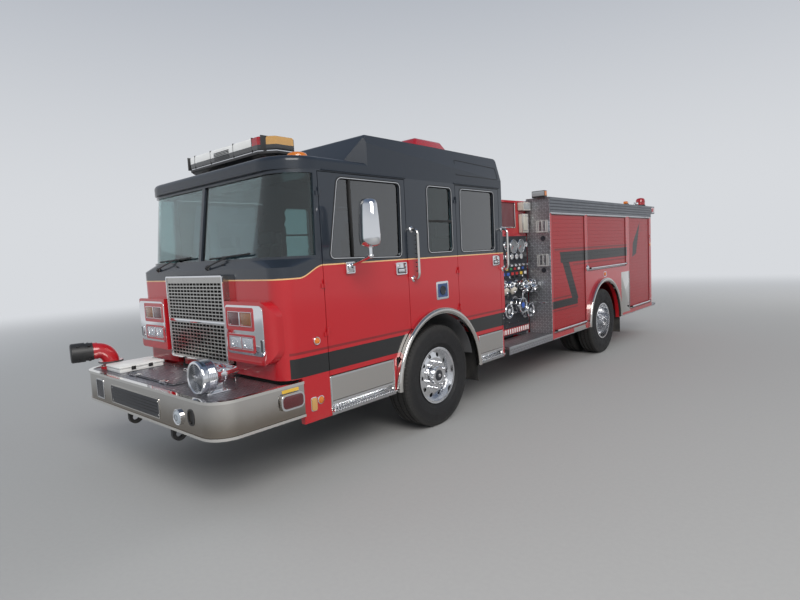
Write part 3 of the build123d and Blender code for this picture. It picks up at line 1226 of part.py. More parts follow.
def write_shutters():
    """Six roll-up shutters of hinged slats, each with a lift bar along its foot."""
    shutters = []
    x0 = BODY_HALF - SHUTTER_INSET - SHUTTER_SHEET
    for front, back, sill in COMPARTMENTS:
        low = sill + 4
        count = int((SHUTTER_TOP - 6 - low) // SLAT_PITCH)
        pitch = (SHUTTER_TOP - 6 - low) / count
        points = [(x0, low), (x0 + SHUTTER_SHEET, low)]
        for n in range(count):
            z = low + n * pitch
            points += [(x0 + SHUTTER_SHEET + SLAT_PROUD, z + 5), (x0 + SHUTTER_SHEET + SLAT_PROUD, z + pitch - 5)]
            points += [(x0 + SHUTTER_SHEET, z + pitch)]
        points += [(x0, SHUTTER_TOP - 6)]
        curtain = front_prism(points, (front + RUN, back - RUN))
        bar_x = BODY_HALF + 22
        z = low + 34
        bar = rod((bar_x, at(front + 40), z), (bar_x, at(back - 40), z), BAR_RADIUS)
        for station in (front + 60, (front + back) / 2, back - 60):
            bar = bar + slab((x0 + SHUTTER_SHEET + SLAT_PROUD, bar_x), (station - 14, station + 14), (z - 9, z + 9))
        shutters += both(curtain + bar)
    low, high, half = 948, 1472, 540
    count = int((high - low) // SLAT_PITCH)
    pitch = (high - low) / count
    points = [(BODY_BACK, low)]
    for n in range(count):
        z = low + n * pitch
        points += [(BODY_BACK + SHUTTER_SHEET, z + 5), (BODY_BACK + SHUTTER_SHEET, z + pitch - 5)]
        points += [(BODY_BACK + SHUTTER_SHEET - SLAT_PROUD, z + pitch)]
    points += [(BODY_BACK, high)]
    rear = side_prism(points, (-half, half))
    bar_y = at(BODY_BACK) + 38
    rear = rear + rod((-half + 60, bar_y, low + 40), (half - 60, bar_y, low + 40), BAR_RADIUS)
    for x in (-half + 80, 0, half - 80):
        rear = rear + block((x - 14, x + 14), (bar_y - 32, bar_y), (low + 31, low + 49))
    shutters.append(rear)
    write("shutter_doors", *[[s] for s in shutters])


def write_body_trim():
    # Ribbed aluminium rail along the top of each side.
    x0, x1 = BODY_HALF - 40, BODY_HALF
    points = [(x0, RAIL_LINE), (x1, RAIL_LINE)]
    ribs = 5
    pitch = (BODY_TOP - RAIL_LINE) / ribs
    for n in range(ribs):
        z = RAIL_LINE + n * pitch
        points += [(x1 + 6, z + 4), (x1 + 6, z + pitch - 8), (x1, z + pitch)]
    points += [(x0, BODY_TOP)]
    rail = front_prism(points, (BODY_FRONT, BODY_BACK))
    cover = slab((BODY_INNER, BODY_HALF - 20), (BODY_FRONT, BODY_BACK), (BODY_TOP - 45, BODY_TOP - 30))
    rail = rail + cover
    tail_box = slab((BODY_HALF - 130, BODY_HALF), (BODY_BACK, BODY_BACK + 250), (2385, BODY_TOP))
    write("body_top_rails", both(rail + tail_box))
    # Treadplate bulkhead beside the pump panel, with two folding steps and a low bracket.
    x_in, x_out = PUMP_HALF + PANEL_SHEET, BODY_HALF
    y0, y1 = BODY_FRONT - BULKHEAD_SHEET, BODY_FRONT
    plate = slab((x_in, x_out), (y0, y1), (BODY_LOW, BODY_TOP))
    plate = plate + slab((x_in, x_in + 4), (PUMP_BACK + 12, y1), (BODY_LOW, BODY_TOP))
    for z0 in (1570, 2045):
        frame = slab((x_out - 190, x_out - 17), (y0 - 26, y0), (z0, z0 + 165))
        for n in range(3):
            frame = frame - slab((x_out - 175 + 50 * n, x_out - 143 + 50 * n), (y0 - 30, y0 - 5), (z0 + 14, z0 + 150))
        plate = plate + frame
    plate = plate + slab((x_out - 235, x_out - 45), (y0 - 110, y0), (1050, 1062))
    plate = plate + slab((x_out - 225, x_out - 35), (y0 - 60, y0 + 4), (BODY_TOP, BODY_TOP + 90))
    write("body_bulkheads", both(plate))
    # Fender trims: a half ring each side over the front and rear wheels, straight at its feet.
    for name, axle, half in (("front", FRONT_AXLE_Y, CAB_HALF), ("rear", REAR_AXLE_Y, BODY_HALF)):
        x = (half, half + TRIM_STAND)
        ring = arch_tool(axle, x, ARCH_RADIUS + TRIM_WIDTH) - arch_tool(axle, (x[0] - 5, x[1] + 5), ARCH_RADIUS)
        ring = ring - block((x[0] - 5, x[1] + 5), (axle - 900, axle + 900), (-10, ARCH_LOW))
        write(f"{name}_fender_trims", both(ring))


def main():
    os.makedirs("parts", exist_ok=True)
    write_chassis()
    write_axles()
    write_wheels()
    write_cab()
    write_doors()
    write_interior()
    write_grab_rails()
    write_side_steps()
    write_running_boards()
    write_bumper()
    write_grille()
    write_headlights()
    write_front_fittings()
    write_roof_lights()
    write_rear_lamps()
    write_pump_house()
    write_monitor()
    write_body()


main()
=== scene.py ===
import math
from functools import reduce
import bmesh
import bpy
from mathutils import Matrix, Vector


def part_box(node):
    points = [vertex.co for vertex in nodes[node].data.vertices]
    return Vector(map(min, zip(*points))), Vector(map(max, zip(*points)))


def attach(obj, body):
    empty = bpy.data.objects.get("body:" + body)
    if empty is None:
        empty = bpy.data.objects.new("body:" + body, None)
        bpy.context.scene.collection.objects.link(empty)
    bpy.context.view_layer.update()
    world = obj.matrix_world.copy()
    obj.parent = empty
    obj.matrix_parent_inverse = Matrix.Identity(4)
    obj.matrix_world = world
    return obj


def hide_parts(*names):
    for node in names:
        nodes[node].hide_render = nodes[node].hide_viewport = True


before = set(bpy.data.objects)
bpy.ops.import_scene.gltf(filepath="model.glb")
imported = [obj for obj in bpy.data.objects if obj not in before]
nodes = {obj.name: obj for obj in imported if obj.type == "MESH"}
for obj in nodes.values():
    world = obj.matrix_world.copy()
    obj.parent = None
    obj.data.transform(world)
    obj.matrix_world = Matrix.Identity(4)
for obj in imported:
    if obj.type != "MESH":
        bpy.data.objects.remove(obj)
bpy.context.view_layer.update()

# Lengths are in metres. A station is a place along the vehicle, counted back from the front axle.
# Pieces are built with their stations as Y, and moved to the frame when they are done.
low_tyre, high_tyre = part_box("front_left_tyre")
AXLE_Y = (low_tyre.y + high_tyre.y) / 2
REAR_AXLE = 4.570
HUB_Z = 0.540
CAB_X = 1.210     # outer face of the cab's sides
BODY_X = 1.235    # outer face of the body's sides
CAB_SEAT = CAB_X - 0.0005     # trims on the cab start this deep in its skin
BODY_SEAT = BODY_X - 0.0005
PANEL_X = 0.8815     # face of the pump panels
BAR_Z = 2.685     # top of the low roof, where the lightbar and domes stand
OUT, AFT, UP = (1, 0, 0), (0, 1, 0), (0, 0, 1)
SIDES = (("left", 1), ("right", -1))


# Shader building blocks

class Field:
    """A value that changes over a surface. Arithmetic on it adds math nodes to its tree."""

    def __init__(self, tree, socket):
        self.tree, self.socket = tree, socket

    def math(self, operation, other=0.0, clamp=False):
        return field(self.tree, "ShaderNodeMath", {0: self, 1: other}, operation=operation, use_clamp=clamp)

    def __add__(self, other):
        return self.math("ADD", other)

    def __sub__(self, other):
        return self.math("SUBTRACT", other)

    def __rsub__(self, other):
        return self * -1.0 + other

    def __mul__(self, other):
        return self.math("MULTIPLY", other)

    def __truediv__(self, other):
        return self.math("DIVIDE", other)

    def __pow__(self, other):
        return self.math("POWER", other)

    def __gt__(self, other):
        return self.math("GREATER_THAN", other)

    def __lt__(self, other):
        return self.math("LESS_THAN", other)

    def __abs__(self):
        return self.math("ABSOLUTE")

    def clamped(self):
        return self.math("ADD", 0.0, clamp=True)

    def sine(self):
        return self.math("SINE")

    def eased(self, low, high, out_low=0.0, out_high=1.0):
        """The value eased from one range to another."""
        links = {0: self, 1: low, 2: high, 3: out_low, 4: out_high}
        return field(self.tree, "ShaderNodeMapRange", links, interpolation_type="SMOOTHSTEP")

    def parts(self):
        return [field(self.tree, "ShaderNodeSeparateXYZ", {0: self}, n) for n in range(3)]


def fill(tree, node, links):
    """Links a node's inputs to fields, or sets them to plain values."""
    for key, value in links.items():
        socket = node.inputs[key]
        if isinstance(value, Field):
            tree.links.new(value.socket, socket)
        else:
            socket.default_value = (*value, 1.0)[:4] if socket.type == "RGBA" else value


def put(tree, kind, links, **settings):
    node = tree.nodes.new(kind)
    for key, value in settings.items():
        setattr(node, key, value)
    fill(tree, node, links)
    return node


def field(tree, kind, links=None, output=0, **settings):
    """One output of a new node."""
    return Field(tree, put(tree, kind, links or {}, **settings).outputs[output])


def mixed(mask, a, b):
    """Colour a turned into colour b where the mask is 1."""
    tree = next(v.tree for v in (mask, a, b) if isinstance(v, Field))
    return field(tree, "ShaderNodeMix", {0: mask, 6: a, 7: b}, 2, data_type="RGBA")


def noise(place, scale, detail=3.0, rough=0.5):
    links = {"Vector": place, "Scale": scale, "Detail": detail, "Roughness": rough}
    return field(place.tree, "ShaderNodeTexNoise", links)


def bump(height, strength, distance, **more):
    links = {"Strength": strength, "Distance": distance, "Height": height, **more}
    return field(height.tree, "ShaderNodeBump", links)


def shaded(colour, by, plus=0.0):
    return tuple(min(1.0, c * by + plus) for c in colour)


def flat_place(place):
    """The two coordinates that lie in a surface, chosen by the way it faces."""
    facing = field(place.tree, "ShaderNodeTexCoord", output="Normal")
    nx, ny, nz = field(place.tree, "ShaderNodeVectorMath", {0: facing}, operation="ABSOLUTE").parts()
    x, y, z = place.parts()
    level, sideways = nz > 0.6, nx > ny
    upright = 1.0 - level
    along_wall = sideways * y + (1.0 - sideways) * x
    return level * x + upright * along_wall, level * y + upright * z


def inside(station, height, points, soft=0.004):
    """A mask that is 1 inside a convex outline of (station, height) points, given anticlockwise."""
    masks = []
    for (s0, z0), (s1, z1) in zip(points, points[1:] + points[:1]):
        long = math.hypot(s1 - s0, z1 - z0)
        a, b = (z0 - z1) / long, (s1 - s0) / long
        distance = station * a + (height * b - (a * s0 + b * z0))
        masks.append((distance * (1.0 / soft) + 0.5).clamped())
    return reduce(lambda a, b: a * b, masks)


def oblong(a0, a1, b0, b1):
    return [(a0, b0), (a1, b0), (a1, b1), (a0, b1)]


# Effects that several materials share

RED = (0.44, 0.010, 0.016)
BLACK = (0.017, 0.023, 0.033)
CHARCOAL = (0.011, 0.011, 0.012)
GOLD = (0.74, 0.44, 0.20)
DUST = (0.30, 0.27, 0.23)
STRIPES = (
    oblong(-1.93, 1.36, 0.905, 1.065),
    oblong(2.605, 3.50, 0.945, 1.055),
    oblong(2.93, 5.70, 1.595, 1.752),
    [(2.90, 1.752), (3.31, 1.03), (3.53, 1.03), (3.13, 1.752)],
    [(6.02, 1.56), (6.24, 1.62), (6.47, 2.22), (6.06, 1.82)],
)
PINSTRIPES = (
    oblong(-1.93, 1.36, 1.092, 1.114),
    oblong(2.605, 3.28, 1.084, 1.106),
    oblong(2.605, 3.50, 0.905, 0.922),
    oblong(2.74, 5.72, 1.776, 1.806),
    oblong(3.36, 5.70, 1.545, 1.562),
)


def road_film(place, reach, amount):
    """Dust that thickens towards the ground and gathers in patches."""
    near_ground = (1.0 - place.parts()[2] / reach).clamped()
    near_ground = near_ground * near_ground
    patches = noise(place, 5.0, 6.0, 0.62).eased(0.35, 0.75)
    specks = noise(place, 70.0, 2.0).eased(0.52, 0.74)
    dust = near_ground * patches + specks * near_ground * 0.25
    return {"Dust": (dust * amount).clamped()}


def hairlines(place, base, spread, depth):
    """Fine polishing lines along the vehicle, with soft smudges: a roughness value and a normal."""
    drawn = field(place.tree, "ShaderNodeMapping", {"Vector": place, "Scale": (90.0, 6.0, 90.0)})
    lines = noise(drawn, 3.0, 5.0, 0.7)
    smudges = noise(place, 7.0, 4.0).eased(0.30, 0.80, 0.2, 0.8)
    rough = base + spread * (lines * 0.5 + smudges)
    return {"Roughness": rough.clamped(), "Normal": bump(lines, depth, 0.002)}


def lacquer(place, depth):
    """The slight waves of sprayed paint."""
    waves = noise(place, 5.0, 2.0) + noise(place, 420.0, 1.0) * 0.004
    return {"Normal": bump(waves, depth, 0.01), "Swirl": noise(place, 24.0, 6.0, 0.7).eased(0.4, 0.75)}


def tread_lozenges(place, pitch):
    """Raised lozenges of chequer plate, turned one way and the other on a square grid."""
    u, v = (way / pitch for way in flat_place(place))
    parity = (u.math("FLOOR") + v.math("FLOOR")).math("PINGPONG", 1.0)
    a = u.math("FRACT") - 0.5
    b = (v.math("FRACT") - 0.5) * (parity * 2.0 - 1.0)
    along, across = (a + b) * 0.7071, (a - b) * 0.7071
    raised = ((along / 0.52) ** 2.0 + (across / 0.17) ** 2.0).eased(1.25, 0.7)
    return {"Raised": raised, "Normal": bump(raised, 0.75, 0.0022)}


def livery(place):
    """Black over red with a gold line between them, and the charcoal stripes along the side."""
    def any_of(outlines, soft):
        masks = [inside(station, z, points, soft) for points in outlines]
        return reduce(lambda a, b: a.math("MAXIMUM", b), masks) * on_side

    x, y, z = place.parts()
    station = y - AXLE_Y
    on_side, on_cab = abs(x) > 1.0, station < 1.352
    above = z - station.eased(-1.80, -1.54, 1.707, 1.800)
    colour = mixed(any_of(STRIPES, 0.004), RED, CHARCOAL)
    colour = mixed(any_of(PINSTRIPES, 0.003) * 0.7, colour, (0.12, 0.012, 0.014))
    colour = mixed((above * 400.0 + 0.5).clamped() * on_cab, colour, BLACK)
    return {"Colour": mixed((abs(above + 0.004) < 0.0055) * on_cab, colour, GOLD)}


def node_group(effect, outputs, **inputs):
    """Builds an effect as a node group. An input without a value of its own is a vector."""
    tree = bpy.data.node_groups.new(effect.__name__, "ShaderNodeTree")
    start, end = tree.nodes.new("NodeGroupInput"), tree.nodes.new("NodeGroupOutput")
    for name, value in inputs.items():
        kind = "NodeSocketVector" if value is None else "NodeSocketFloat"
        socket = tree.interface.new_socket(name=name, in_out="INPUT", socket_type=kind)
        if value is not None:
            socket.default_value = value
    for name, kind in outputs.items():
        tree.interface.new_socket(name=name, in_out="OUTPUT", socket_type="NodeSocket" + kind)
    fill(tree, end, effect(*(Field(tree, start.outputs[name]) for name in inputs)))
    return tree


ROAD_FILM = node_group(road_film, {"Dust": "Float"}, Place=None, Reach=0.9, Amount=0.5)
HAIRLINES = node_group(
    hairlines, {"Roughness": "Float", "Normal": "Vector"}, Place=None, Base=0.15, Spread=0.12, Depth=0.04
)
LACQUER = node_group(lacquer, {"Normal": "Vector", "Swirl": "Float"}, Place=None, Depth=0.05)
LOZENGES = node_group(tread_lozenges, {"Raised": "Float", "Normal": "Vector"}, Place=None, Pitch=0.03)
LIVERY = node_group(livery, {"Colour": "Color"}, Place=None)


def use(group, place, **inputs):
    """Places a group in a material, and gives its outputs by name."""
    node = put(place.tree, "ShaderNodeGroup", {}, node_tree=group)
    fill(place.tree, node, {"Place": place, **inputs})
    return {socket.name: Field(place.tree, socket) for socket in node.outputs}


# Materials

class Surface:
    """A Principled material in the making, with the place that its patterns read."""

    def __init__(self, name, **constants):
        self.material = bpy.data.materials.new(name)
        self.material.use_nodes = True
        self.tree = self.material.node_tree
        self.shader = self.tree.nodes["Principled BSDF"]
        self.place = field(self.tree, "ShaderNodeTexCoord", output="Object")
        self.feed(**constants)

    def feed(self, **inputs):
        fill(self.tree, self.shader, {key.replace("_", " "): value for key, value in inputs.items()})
        return self.material

    def dusted(self, colour, rough, normal, reach, amount):
        """Lays road film over a colour and a roughness."""
        film = use(ROAD_FILM, self.place, Reach=reach, Amount=amount)["Dust"]
        rough = (film * 0.6 + rough).clamped()
        return self.feed(Base_Color=mixed(film, colour, DUST), Roughness=rough, Normal=normal)


def sprayed_paint(name, colour=None, amount=0.35, coat=1.0, shade=0.0):
    """Lacquered paint, in one colour or in the livery; a shade above 0 mixes in black as painted shade."""
    s = Surface(name, Coat_Weight=coat, Coat_Roughness=0.02, Specular_IOR_Level=0.25)
    colour = colour or use(LIVERY, s.place)["Colour"]
    # Painted shade: the colour is darkened towards black by the shade amount.
    if shade:
        colour = mixed(shade, colour, (0.004, 0.002, 0.003))
    coats = use(LACQUER, s.place, Depth=0.05)
    return s.dusted(colour, coats["Swirl"] * 0.06 + 0.30, coats["Normal"], 0.9, amount)


def bright_metal(name, colour, base, spread, depth=0.04, amount=0.18, reach=0.8):
    s = Surface(name, Metallic=1.0)
    lines = use(HAIRLINES, s.place, Base=base, Spread=spread, Depth=depth)
    return s.dusted(colour, lines["Roughness"], lines["Normal"], reach, amount)


def bumper_steel(name):
    """Polished bumper steel: road film, grime and a painted dark reflection of the ground low down, and
    rolled edges brightened as painted highlights.
    """
    s = Surface(name, Metallic=1.0)
    height = s.place.parts()[2]
    lines = use(HAIRLINES, s.place, Base=0.02, Spread=0.06, Depth=0.05)
    # Darker towards the bottom: noise for grime, plus painted shade and a painted dark reflection of the
    # ground.
    grime_and_painted_ground_reflection = noise(s.place, 3.5, 5.0, 0.6) * 0.10 + (height - 0.05)
    colour = mixed(grime_and_painted_ground_reflection.eased(0.62, 0.86), (0.30, 0.265, 0.225), (0.66, 0.64, 0.61))
    # Painted highlights: the rolled top and bottom edges are given a brighter colour.
    edge = (height > 0.8625).math("MAXIMUM", height < 0.6175)
    colour = mixed(edge, colour, (0.88, 0.86, 0.82))
    return s.dusted(colour, lines["Roughness"], lines["Normal"], 0.8, 0.1)


def chequer_plate(name, colour, pitch, amount=0.3):
    s = Surface(name, Metallic=1.0)
    tread = use(LOZENGES, s.place, Pitch=pitch)
    rough = noise(s.place, 12.0, 4.0) * 0.25 + (tread["Raised"] * -0.12 + 0.30)
    tint = mixed(tread["Raised"] * 0.8, shaded(colour, 0.62), colour)
    return s.dusted(tint, rough, tread["Normal"], 0.9, amount)


def moulded(name, colour, rough=0.5, scale=220.0, depth=0.25, reach=0.8, amount=0.35, metallic=0.0):
    """Grained plastic, cast or rubbery surfaces."""
    s = Surface(name, Metallic=metallic)
    grain = noise(s.place, scale)
    fade = noise(s.place, 4.0).eased(0.3, 0.7)
    tint = mixed(fade * 0.35, colour, shaded(colour, 1.7, 0.01))
    return s.dusted(tint, grain * 0.2 + (rough - 0.1), bump(grain, depth, 0.0012), reach, amount)


def panel_with_fittings(name, colour, face):
    """A dark grained panel; what stands out beyond its face is bright metal."""
    s = Surface(name)
    fitting = abs(s.place.parts()[0]) > face
    lines = use(HAIRLINES, s.place, Base=0.08, Spread=0.12, Depth=0.03)
    rough = (noise(s.place, 140.0) * 0.2 + 0.30) * (1.0 - fitting) + lines["Roughness"] * fitting
    tint = mixed(fitting, colour, (0.66, 0.66, 0.66))
    return s.feed(Base_Color=tint, Metallic=fitting, Roughness=rough, Normal=lines["Normal"])


def lens(name, colour, glow=0.0, pitch=0.012, clear=0.35):
    """A coloured lamp lens with moulded prisms behind its skin."""
    s = Surface(name, Coat_Weight=1.0, Coat_Roughness=0.03, IOR=1.49)
    s.feed(Transmission_Weight=clear, Emission_Strength=glow)
    u, v = flat_place(s.place)
    ribs = (u * (math.tau / pitch)).sine() * (v * (math.tau / pitch)).sine()
    shade = mixed((ribs * 0.35 + 0.4).clamped(), colour, shaded(colour, 0.45))
    rough = noise(s.place, 40.0) * 0.12 + 0.08
    return s.feed(Base_Color=shade, Emission_Color=shade, Roughness=rough, Normal=bump(ribs, 0.35, 0.001))


def pane(name, colour, coat=0.6, coat_ior=1.5):
    """Window glass with a faint film of dirt."""
    s = Surface(name, Transmission_Weight=1.0, IOR=1.45, Coat_Weight=coat, Coat_IOR=coat_ior)
    film = noise(s.place, 3.0, 6.0, 0.65).eased(0.45, 0.8)
    tint = mixed(film * 0.15, colour, shaded(colour, 1.3, 0.02))
    waves = bump(noise(s.place, 2.5, 2.0), 0.02, 0.01)
    return s.feed(Coat_Roughness=0.02, Base_Color=tint, Roughness=film * 0.03 + 0.015, Normal=waves)


def tyre_rubber(name, centre_y):
    """Road tyre rubber: cross cuts on the tread with painted shade in them, fine rings and scuffs on the
    walls, a dusty grey band towards the tread.
    """
    s = Surface(name)
    x, y, z = s.place.parts()
    y, z = y - centre_y, z - HUB_Z
    radius = (y * y + z * z).math("SQRT")
    tread = radius.eased(0.505, 0.522)
    zigzag = (abs(x) * 95.0).sine() * 0.35
    cuts = (z.math("ARCTAN2", y) * 84.0 + zigzag).sine().eased(0.72, 0.92) * tread
    rings = (radius * 520.0).sine() * 0.18 * (1.0 - tread)
    height = noise(s.place, 260.0) * 0.25 - cuts + rings
    worn = noise(s.place, 9.0, 5.0).eased(0.4, 0.75)
    colour = mixed(worn * 0.5, (0.008, 0.008, 0.009), (0.022, 0.021, 0.021))
    colour = mixed(radius.eased(0.45, 0.545) * 0.35, colour, (0.060, 0.057, 0.052))
    # Painted shade: the cross cuts are darker than the rubber round them.
    colour = mixed(cuts * 0.7, colour, (0.006, 0.006, 0.006))
    return s.feed(Base_Color=colour, Roughness=worn * 0.2 + 0.62, Normal=bump(height, 0.8, 0.006))


def ribbed_aluminium(name, pitch):
    """Extruded rail: grooves along the vehicle, a dull satin skin."""
    s = Surface(name, Metallic=1.0)
    groove = abs((s.place.parts()[2] * (math.pi / pitch)).sine()).eased(0.0, 0.35)
    lines = use(HAIRLINES, s.place, Base=0.30, Spread=0.14, Depth=0.05)
    # Painted shade: the grooves are darker than the ribs between them.
    shade = mixed(groove, (0.09, 0.095, 0.10), (0.22, 0.23, 0.25))
    normal = bump(groove, 0.5, 0.002, Normal=lines["Normal"])
    return s.dusted(shade, lines["Roughness"], normal, 0.8, 0.2)


def perforated(name, colour, pitch=0.012, metallic=1.0):
    """A sheet with rows of round holes."""
    s = Surface(name, Metallic=metallic)
    a, b = ((way / pitch).math("FRACT") - 0.5 for way in flat_place(s.place))
    # Painted shade: the holes are coloured near black for the dark space behind them.
    hole = (a * a + b * b).math("SQRT").eased(0.36, 0.30)
    tint = mixed(hole, colour, (0.004, 0.004, 0.005))
    rough = noise(s.place, 60.0) * 0.2 + 0.35
    return s.feed(Base_Color=tint, Roughness=rough, Normal=bump(1.0 - hole, 0.6, 0.002))


def woven(name, colour, pitch=0.003, rough=0.85):
    """Coated cloth: a plain weave with soft fading."""
    s = Surface(name, Sheen_Weight=0.25, Sheen_Roughness=0.5)
    u, v = flat_place(s.place)
    weave = (u * (math.tau / pitch)).sine() * (v * (math.tau / pitch)).sine()
    fade = noise(s.place, 5.0, 5.0).eased(0.3, 0.75)
    tint = mixed(fade * 0.5, colour, shaded(colour, 1.5, 0.004))
    tint = mixed((weave * 0.15 + 0.15).clamped(), tint, shaded(colour, 0.5))
    return s.feed(Base_Color=tint, Roughness=fade * 0.1 + (rough - 0.1), Normal=bump(weave, 0.4, 0.0008))


RED_AND_BLACK = sprayed_paint("livery_paint", coat=0.85)
# The livery darkened by a quarter: painted shade on the shutters.
SHUTTER_PAINT_WITH_PAINTED_SHADE = sprayed_paint("shutter_paint_painted_shade", coat=0.2, shade=0.25)
ROOF_BLACK = sprayed_paint("roof_black", BLACK, 0.15, coat=0.45)
PLAIN_RED = sprayed_paint("plain_red", RED)
GREY_PAINT = sprayed_paint("grey_paint", (0.52, 0.53, 0.54), 0.3)
FRAME_BLACK = moulded("frame_black", (0.012, 0.012, 0.013), 0.45, 90.0, 0.15, 1.1, 0.6)
CAST_IRON = moulded("cast_iron", (0.10, 0.10, 0.105), 0.6, 120.0, 0.5, 1.5, 0.5, 0.6)
STAINLESS = bright_metal("polished_stainless", (0.66, 0.64, 0.61), 0.025, 0.05, 0.03)
CHROME = bright_metal("chrome", (0.78, 0.79, 0.81), 0.03, 0.05, 0.015, 0.1)
WORN_CHROME = bright_metal("worn_chrome", (0.40, 0.41, 0.43), 0.10, 0.14, 0.06, 0.3)
GRILLE_METAL = bright_metal("grille_metal", (0.46, 0.45, 0.43), 0.16, 0.14, 0.05, 0.15)
ALLOY = bright_metal("wheel_alloy", (0.80, 0.81, 0.83), 0.10, 0.12, 0.03, 0.35, 1.2)
BRUSHED = bright_metal("brushed_aluminium", (0.50, 0.51, 0.52), 0.28, 0.18, 0.08)
MIRROR_GLASS = bright_metal("mirror_glass", (0.82, 0.85, 0.88), 0.005, 0.01, 0.0, 0.05)
BUMPER_STEEL = bumper_steel("bumper_steel")
PLATE = chequer_plate("chequer_plate", (0.62, 0.63, 0.66), 0.040)
DECK_PLATE = chequer_plate("deck_plate", (0.56, 0.56, 0.59), 0.036, 0.2)
RAIL_METAL = ribbed_aluminium("ribbed_rail", 0.0436 / 3)
SCREEN_GLASS = pane("screen_glass", (0.30, 0.43, 0.43))
TINT_GLASS = pane("tinted_glass", (0.075, 0.095, 0.115), 1.0, 1.9)
BLACK_PLASTIC = moulded("black_plastic", (0.018, 0.018, 0.019), 0.45)
FLAP_RUBBER = moulded("flap_rubber", (0.014, 0.014, 0.014), 0.65, 60.0, 0.15, 0.9, 0.5)
GREY_PLASTIC = moulded("grey_plastic", (0.12, 0.12, 0.125), 0.6)
SEAL = moulded("seal_rubber", (0.012, 0.012, 0.012), 0.7, 120.0, 0.1)
WHITE_PLASTIC = moulded("white_plastic", (0.74, 0.74, 0.72), 0.4, 200.0, 0.08, 0.9, 0.25)
LIGHT_BOX = moulded("light_box", (0.50, 0.47, 0.41), 0.4, 160.0, 0.1)
SOCKET_BLUE = moulded("socket_blue", (0.03, 0.06, 0.16), 0.4, 160.0, 0.1)
NEEDLE_RED = moulded("needle_red", (0.60, 0.02, 0.02), 0.4, 160.0, 0.02)
PANEL_BLACK = moulded("panel_black", (0.016, 0.018, 0.024), 0.35, 140.0, 0.08)
BRIGHT_CASTING = moulded("bright_casting", (0.50, 0.50, 0.49), 0.35, 140.0, 0.1, metallic=0.35)
GRIP_RED, GRIP_BLUE, GRIP_YELLOW, GRIP_GREEN = (
    moulded(name, colour, 0.4, 180.0, 0.08)
    for name, colour in (
        ("grip_red", (0.50, 0.02, 0.02)), ("grip_blue", (0.03, 0.10, 0.42)),
        ("grip_yellow", (0.70, 0.44, 0.04)), ("grip_green", (0.03, 0.26, 0.08)),
    )
)
DIAL_WHITE, DIAL_GREY = (
    moulded(name, colour, 0.35, 60.0, 0.02, 0.5, 0.1)
    for name, colour in (("dial_white", (0.50, 0.51, 0.51)), ("dial_grey", (0.17, 0.18, 0.19)))
)
RED_LENS = lens("red_lens", (0.55, 0.010, 0.020), 0.12)
DEEP_RED_LENS = lens("deep_red_lens", (0.16, 0.008, 0.014))
AMBER_LENS = lens("amber_lens", (0.85, 0.24, 0.010), 0.18)
DEEP_AMBER_LENS = lens("deep_amber_lens", (0.42, 0.15, 0.025), 0.02)
PALE_AMBER_LENS = lens("pale_amber_lens", (0.82, 0.46, 0.14), 0.12)
CLEAR_LENS = lens("clear_lens", (0.80, 0.83, 0.86), 0.05, 0.016, 0.55)
HEADLAMP_LENS = lens("headlamp_lens", (0.62, 0.70, 0.78), 0.10, 0.018)
SMOKED_LENS = lens("smoked_lens", (0.030, 0.032, 0.036), 0.0, 0.014, 0.15)
# The glow of 0.1 is painted light: the reflective strip shines though it is no lamp.
REFLECTIVE = lens("reflective_yellow", (0.85, 0.52, 0.05), 0.1, 0.006, 0.0)
SPEAKER_MESH = perforated("speaker_mesh", (0.20, 0.20, 0.21))
CORE_DARK = perforated("radiator_core", (0.020, 0.020, 0.022), 0.02, 0.4)
SEAT_CLOTH = woven("seat_cloth", (0.045, 0.048, 0.055))
FLAP_CLOTH = woven("flap_cloth", (0.115, 0.010, 0.018), 0.004, 0.55)
PUMP_PANEL = panel_with_fittings("pump_panel", (0.014, 0.016, 0.022), 0.884)
FRONT_RUBBER = tyre_rubber("front_tyre_rubber", AXLE_Y)
REAR_RUBBER = tyre_rubber("rear_tyre_rubber", AXLE_Y + REAR_AXLE)

for finish, names in (
    (FRAME_BLACK, "chassis_frame front_axle rear_axle left_knuckle right_knuckle fuel_tank"),
    (CAST_IRON, "engine_block"),
    (BUMPER_STEEL, "front_bumper"),
    (STAINLESS, "front_fender_trims rear_fender_trims grab_rails cab_steps"),
    (DECK_PLATE, "bumper_deck hose_well_lid running_boards"),
    (PLAIN_RED, "suction_elbow headlight_bezels"),
    (BLACK_PLASTIC, "suction_cap dashboard"),
    (CHROME, "siren left_mirror right_mirror"),
    (GRILLE_METAL, "grille"),
    (RED_AND_BLACK, "pump_house body_sides shutter_doors cab_front cab_sides"),
    (RED_AND_BLACK, "front_left_door front_right_door crew_left_door crew_right_door"),
    (PUMP_PANEL, "pump_panels"),
    (PLATE, "hose_bed body_bulkheads"),
    (RAIL_METAL, "body_top_rails"),
    (RED_LENS, "rear_lamps roof_lights"),
    (HEADLAMP_LENS, "headlamps"),
    (ROOF_BLACK, "cab_roof"),
    (GREY_PLASTIC, "cab_floor engine_tunnel"),
    (SCREEN_GLASS, "cab_glass"),
    (TINT_GLASS, "front_left_door_glass front_right_door_glass crew_left_door_glass crew_right_door_glass"),
    (SEAT_CLOTH, "seats"),
    (FLAP_CLOTH, "crosslay_flaps"),
    (GREY_PAINT, "deck_monitor"),
    (ALLOY, "front_left_rim front_right_rim rear_left_rims rear_right_rims"),
    (FRONT_RUBBER, "front_left_tyre front_right_tyre"),
    (REAR_RUBBER, "rear_left_tyres rear_right_tyres"),
):
    for name in names.split():
        slots = nodes[name].data.materials
        slots.clear()
        slots.append(finish)


# Mesh building blocks

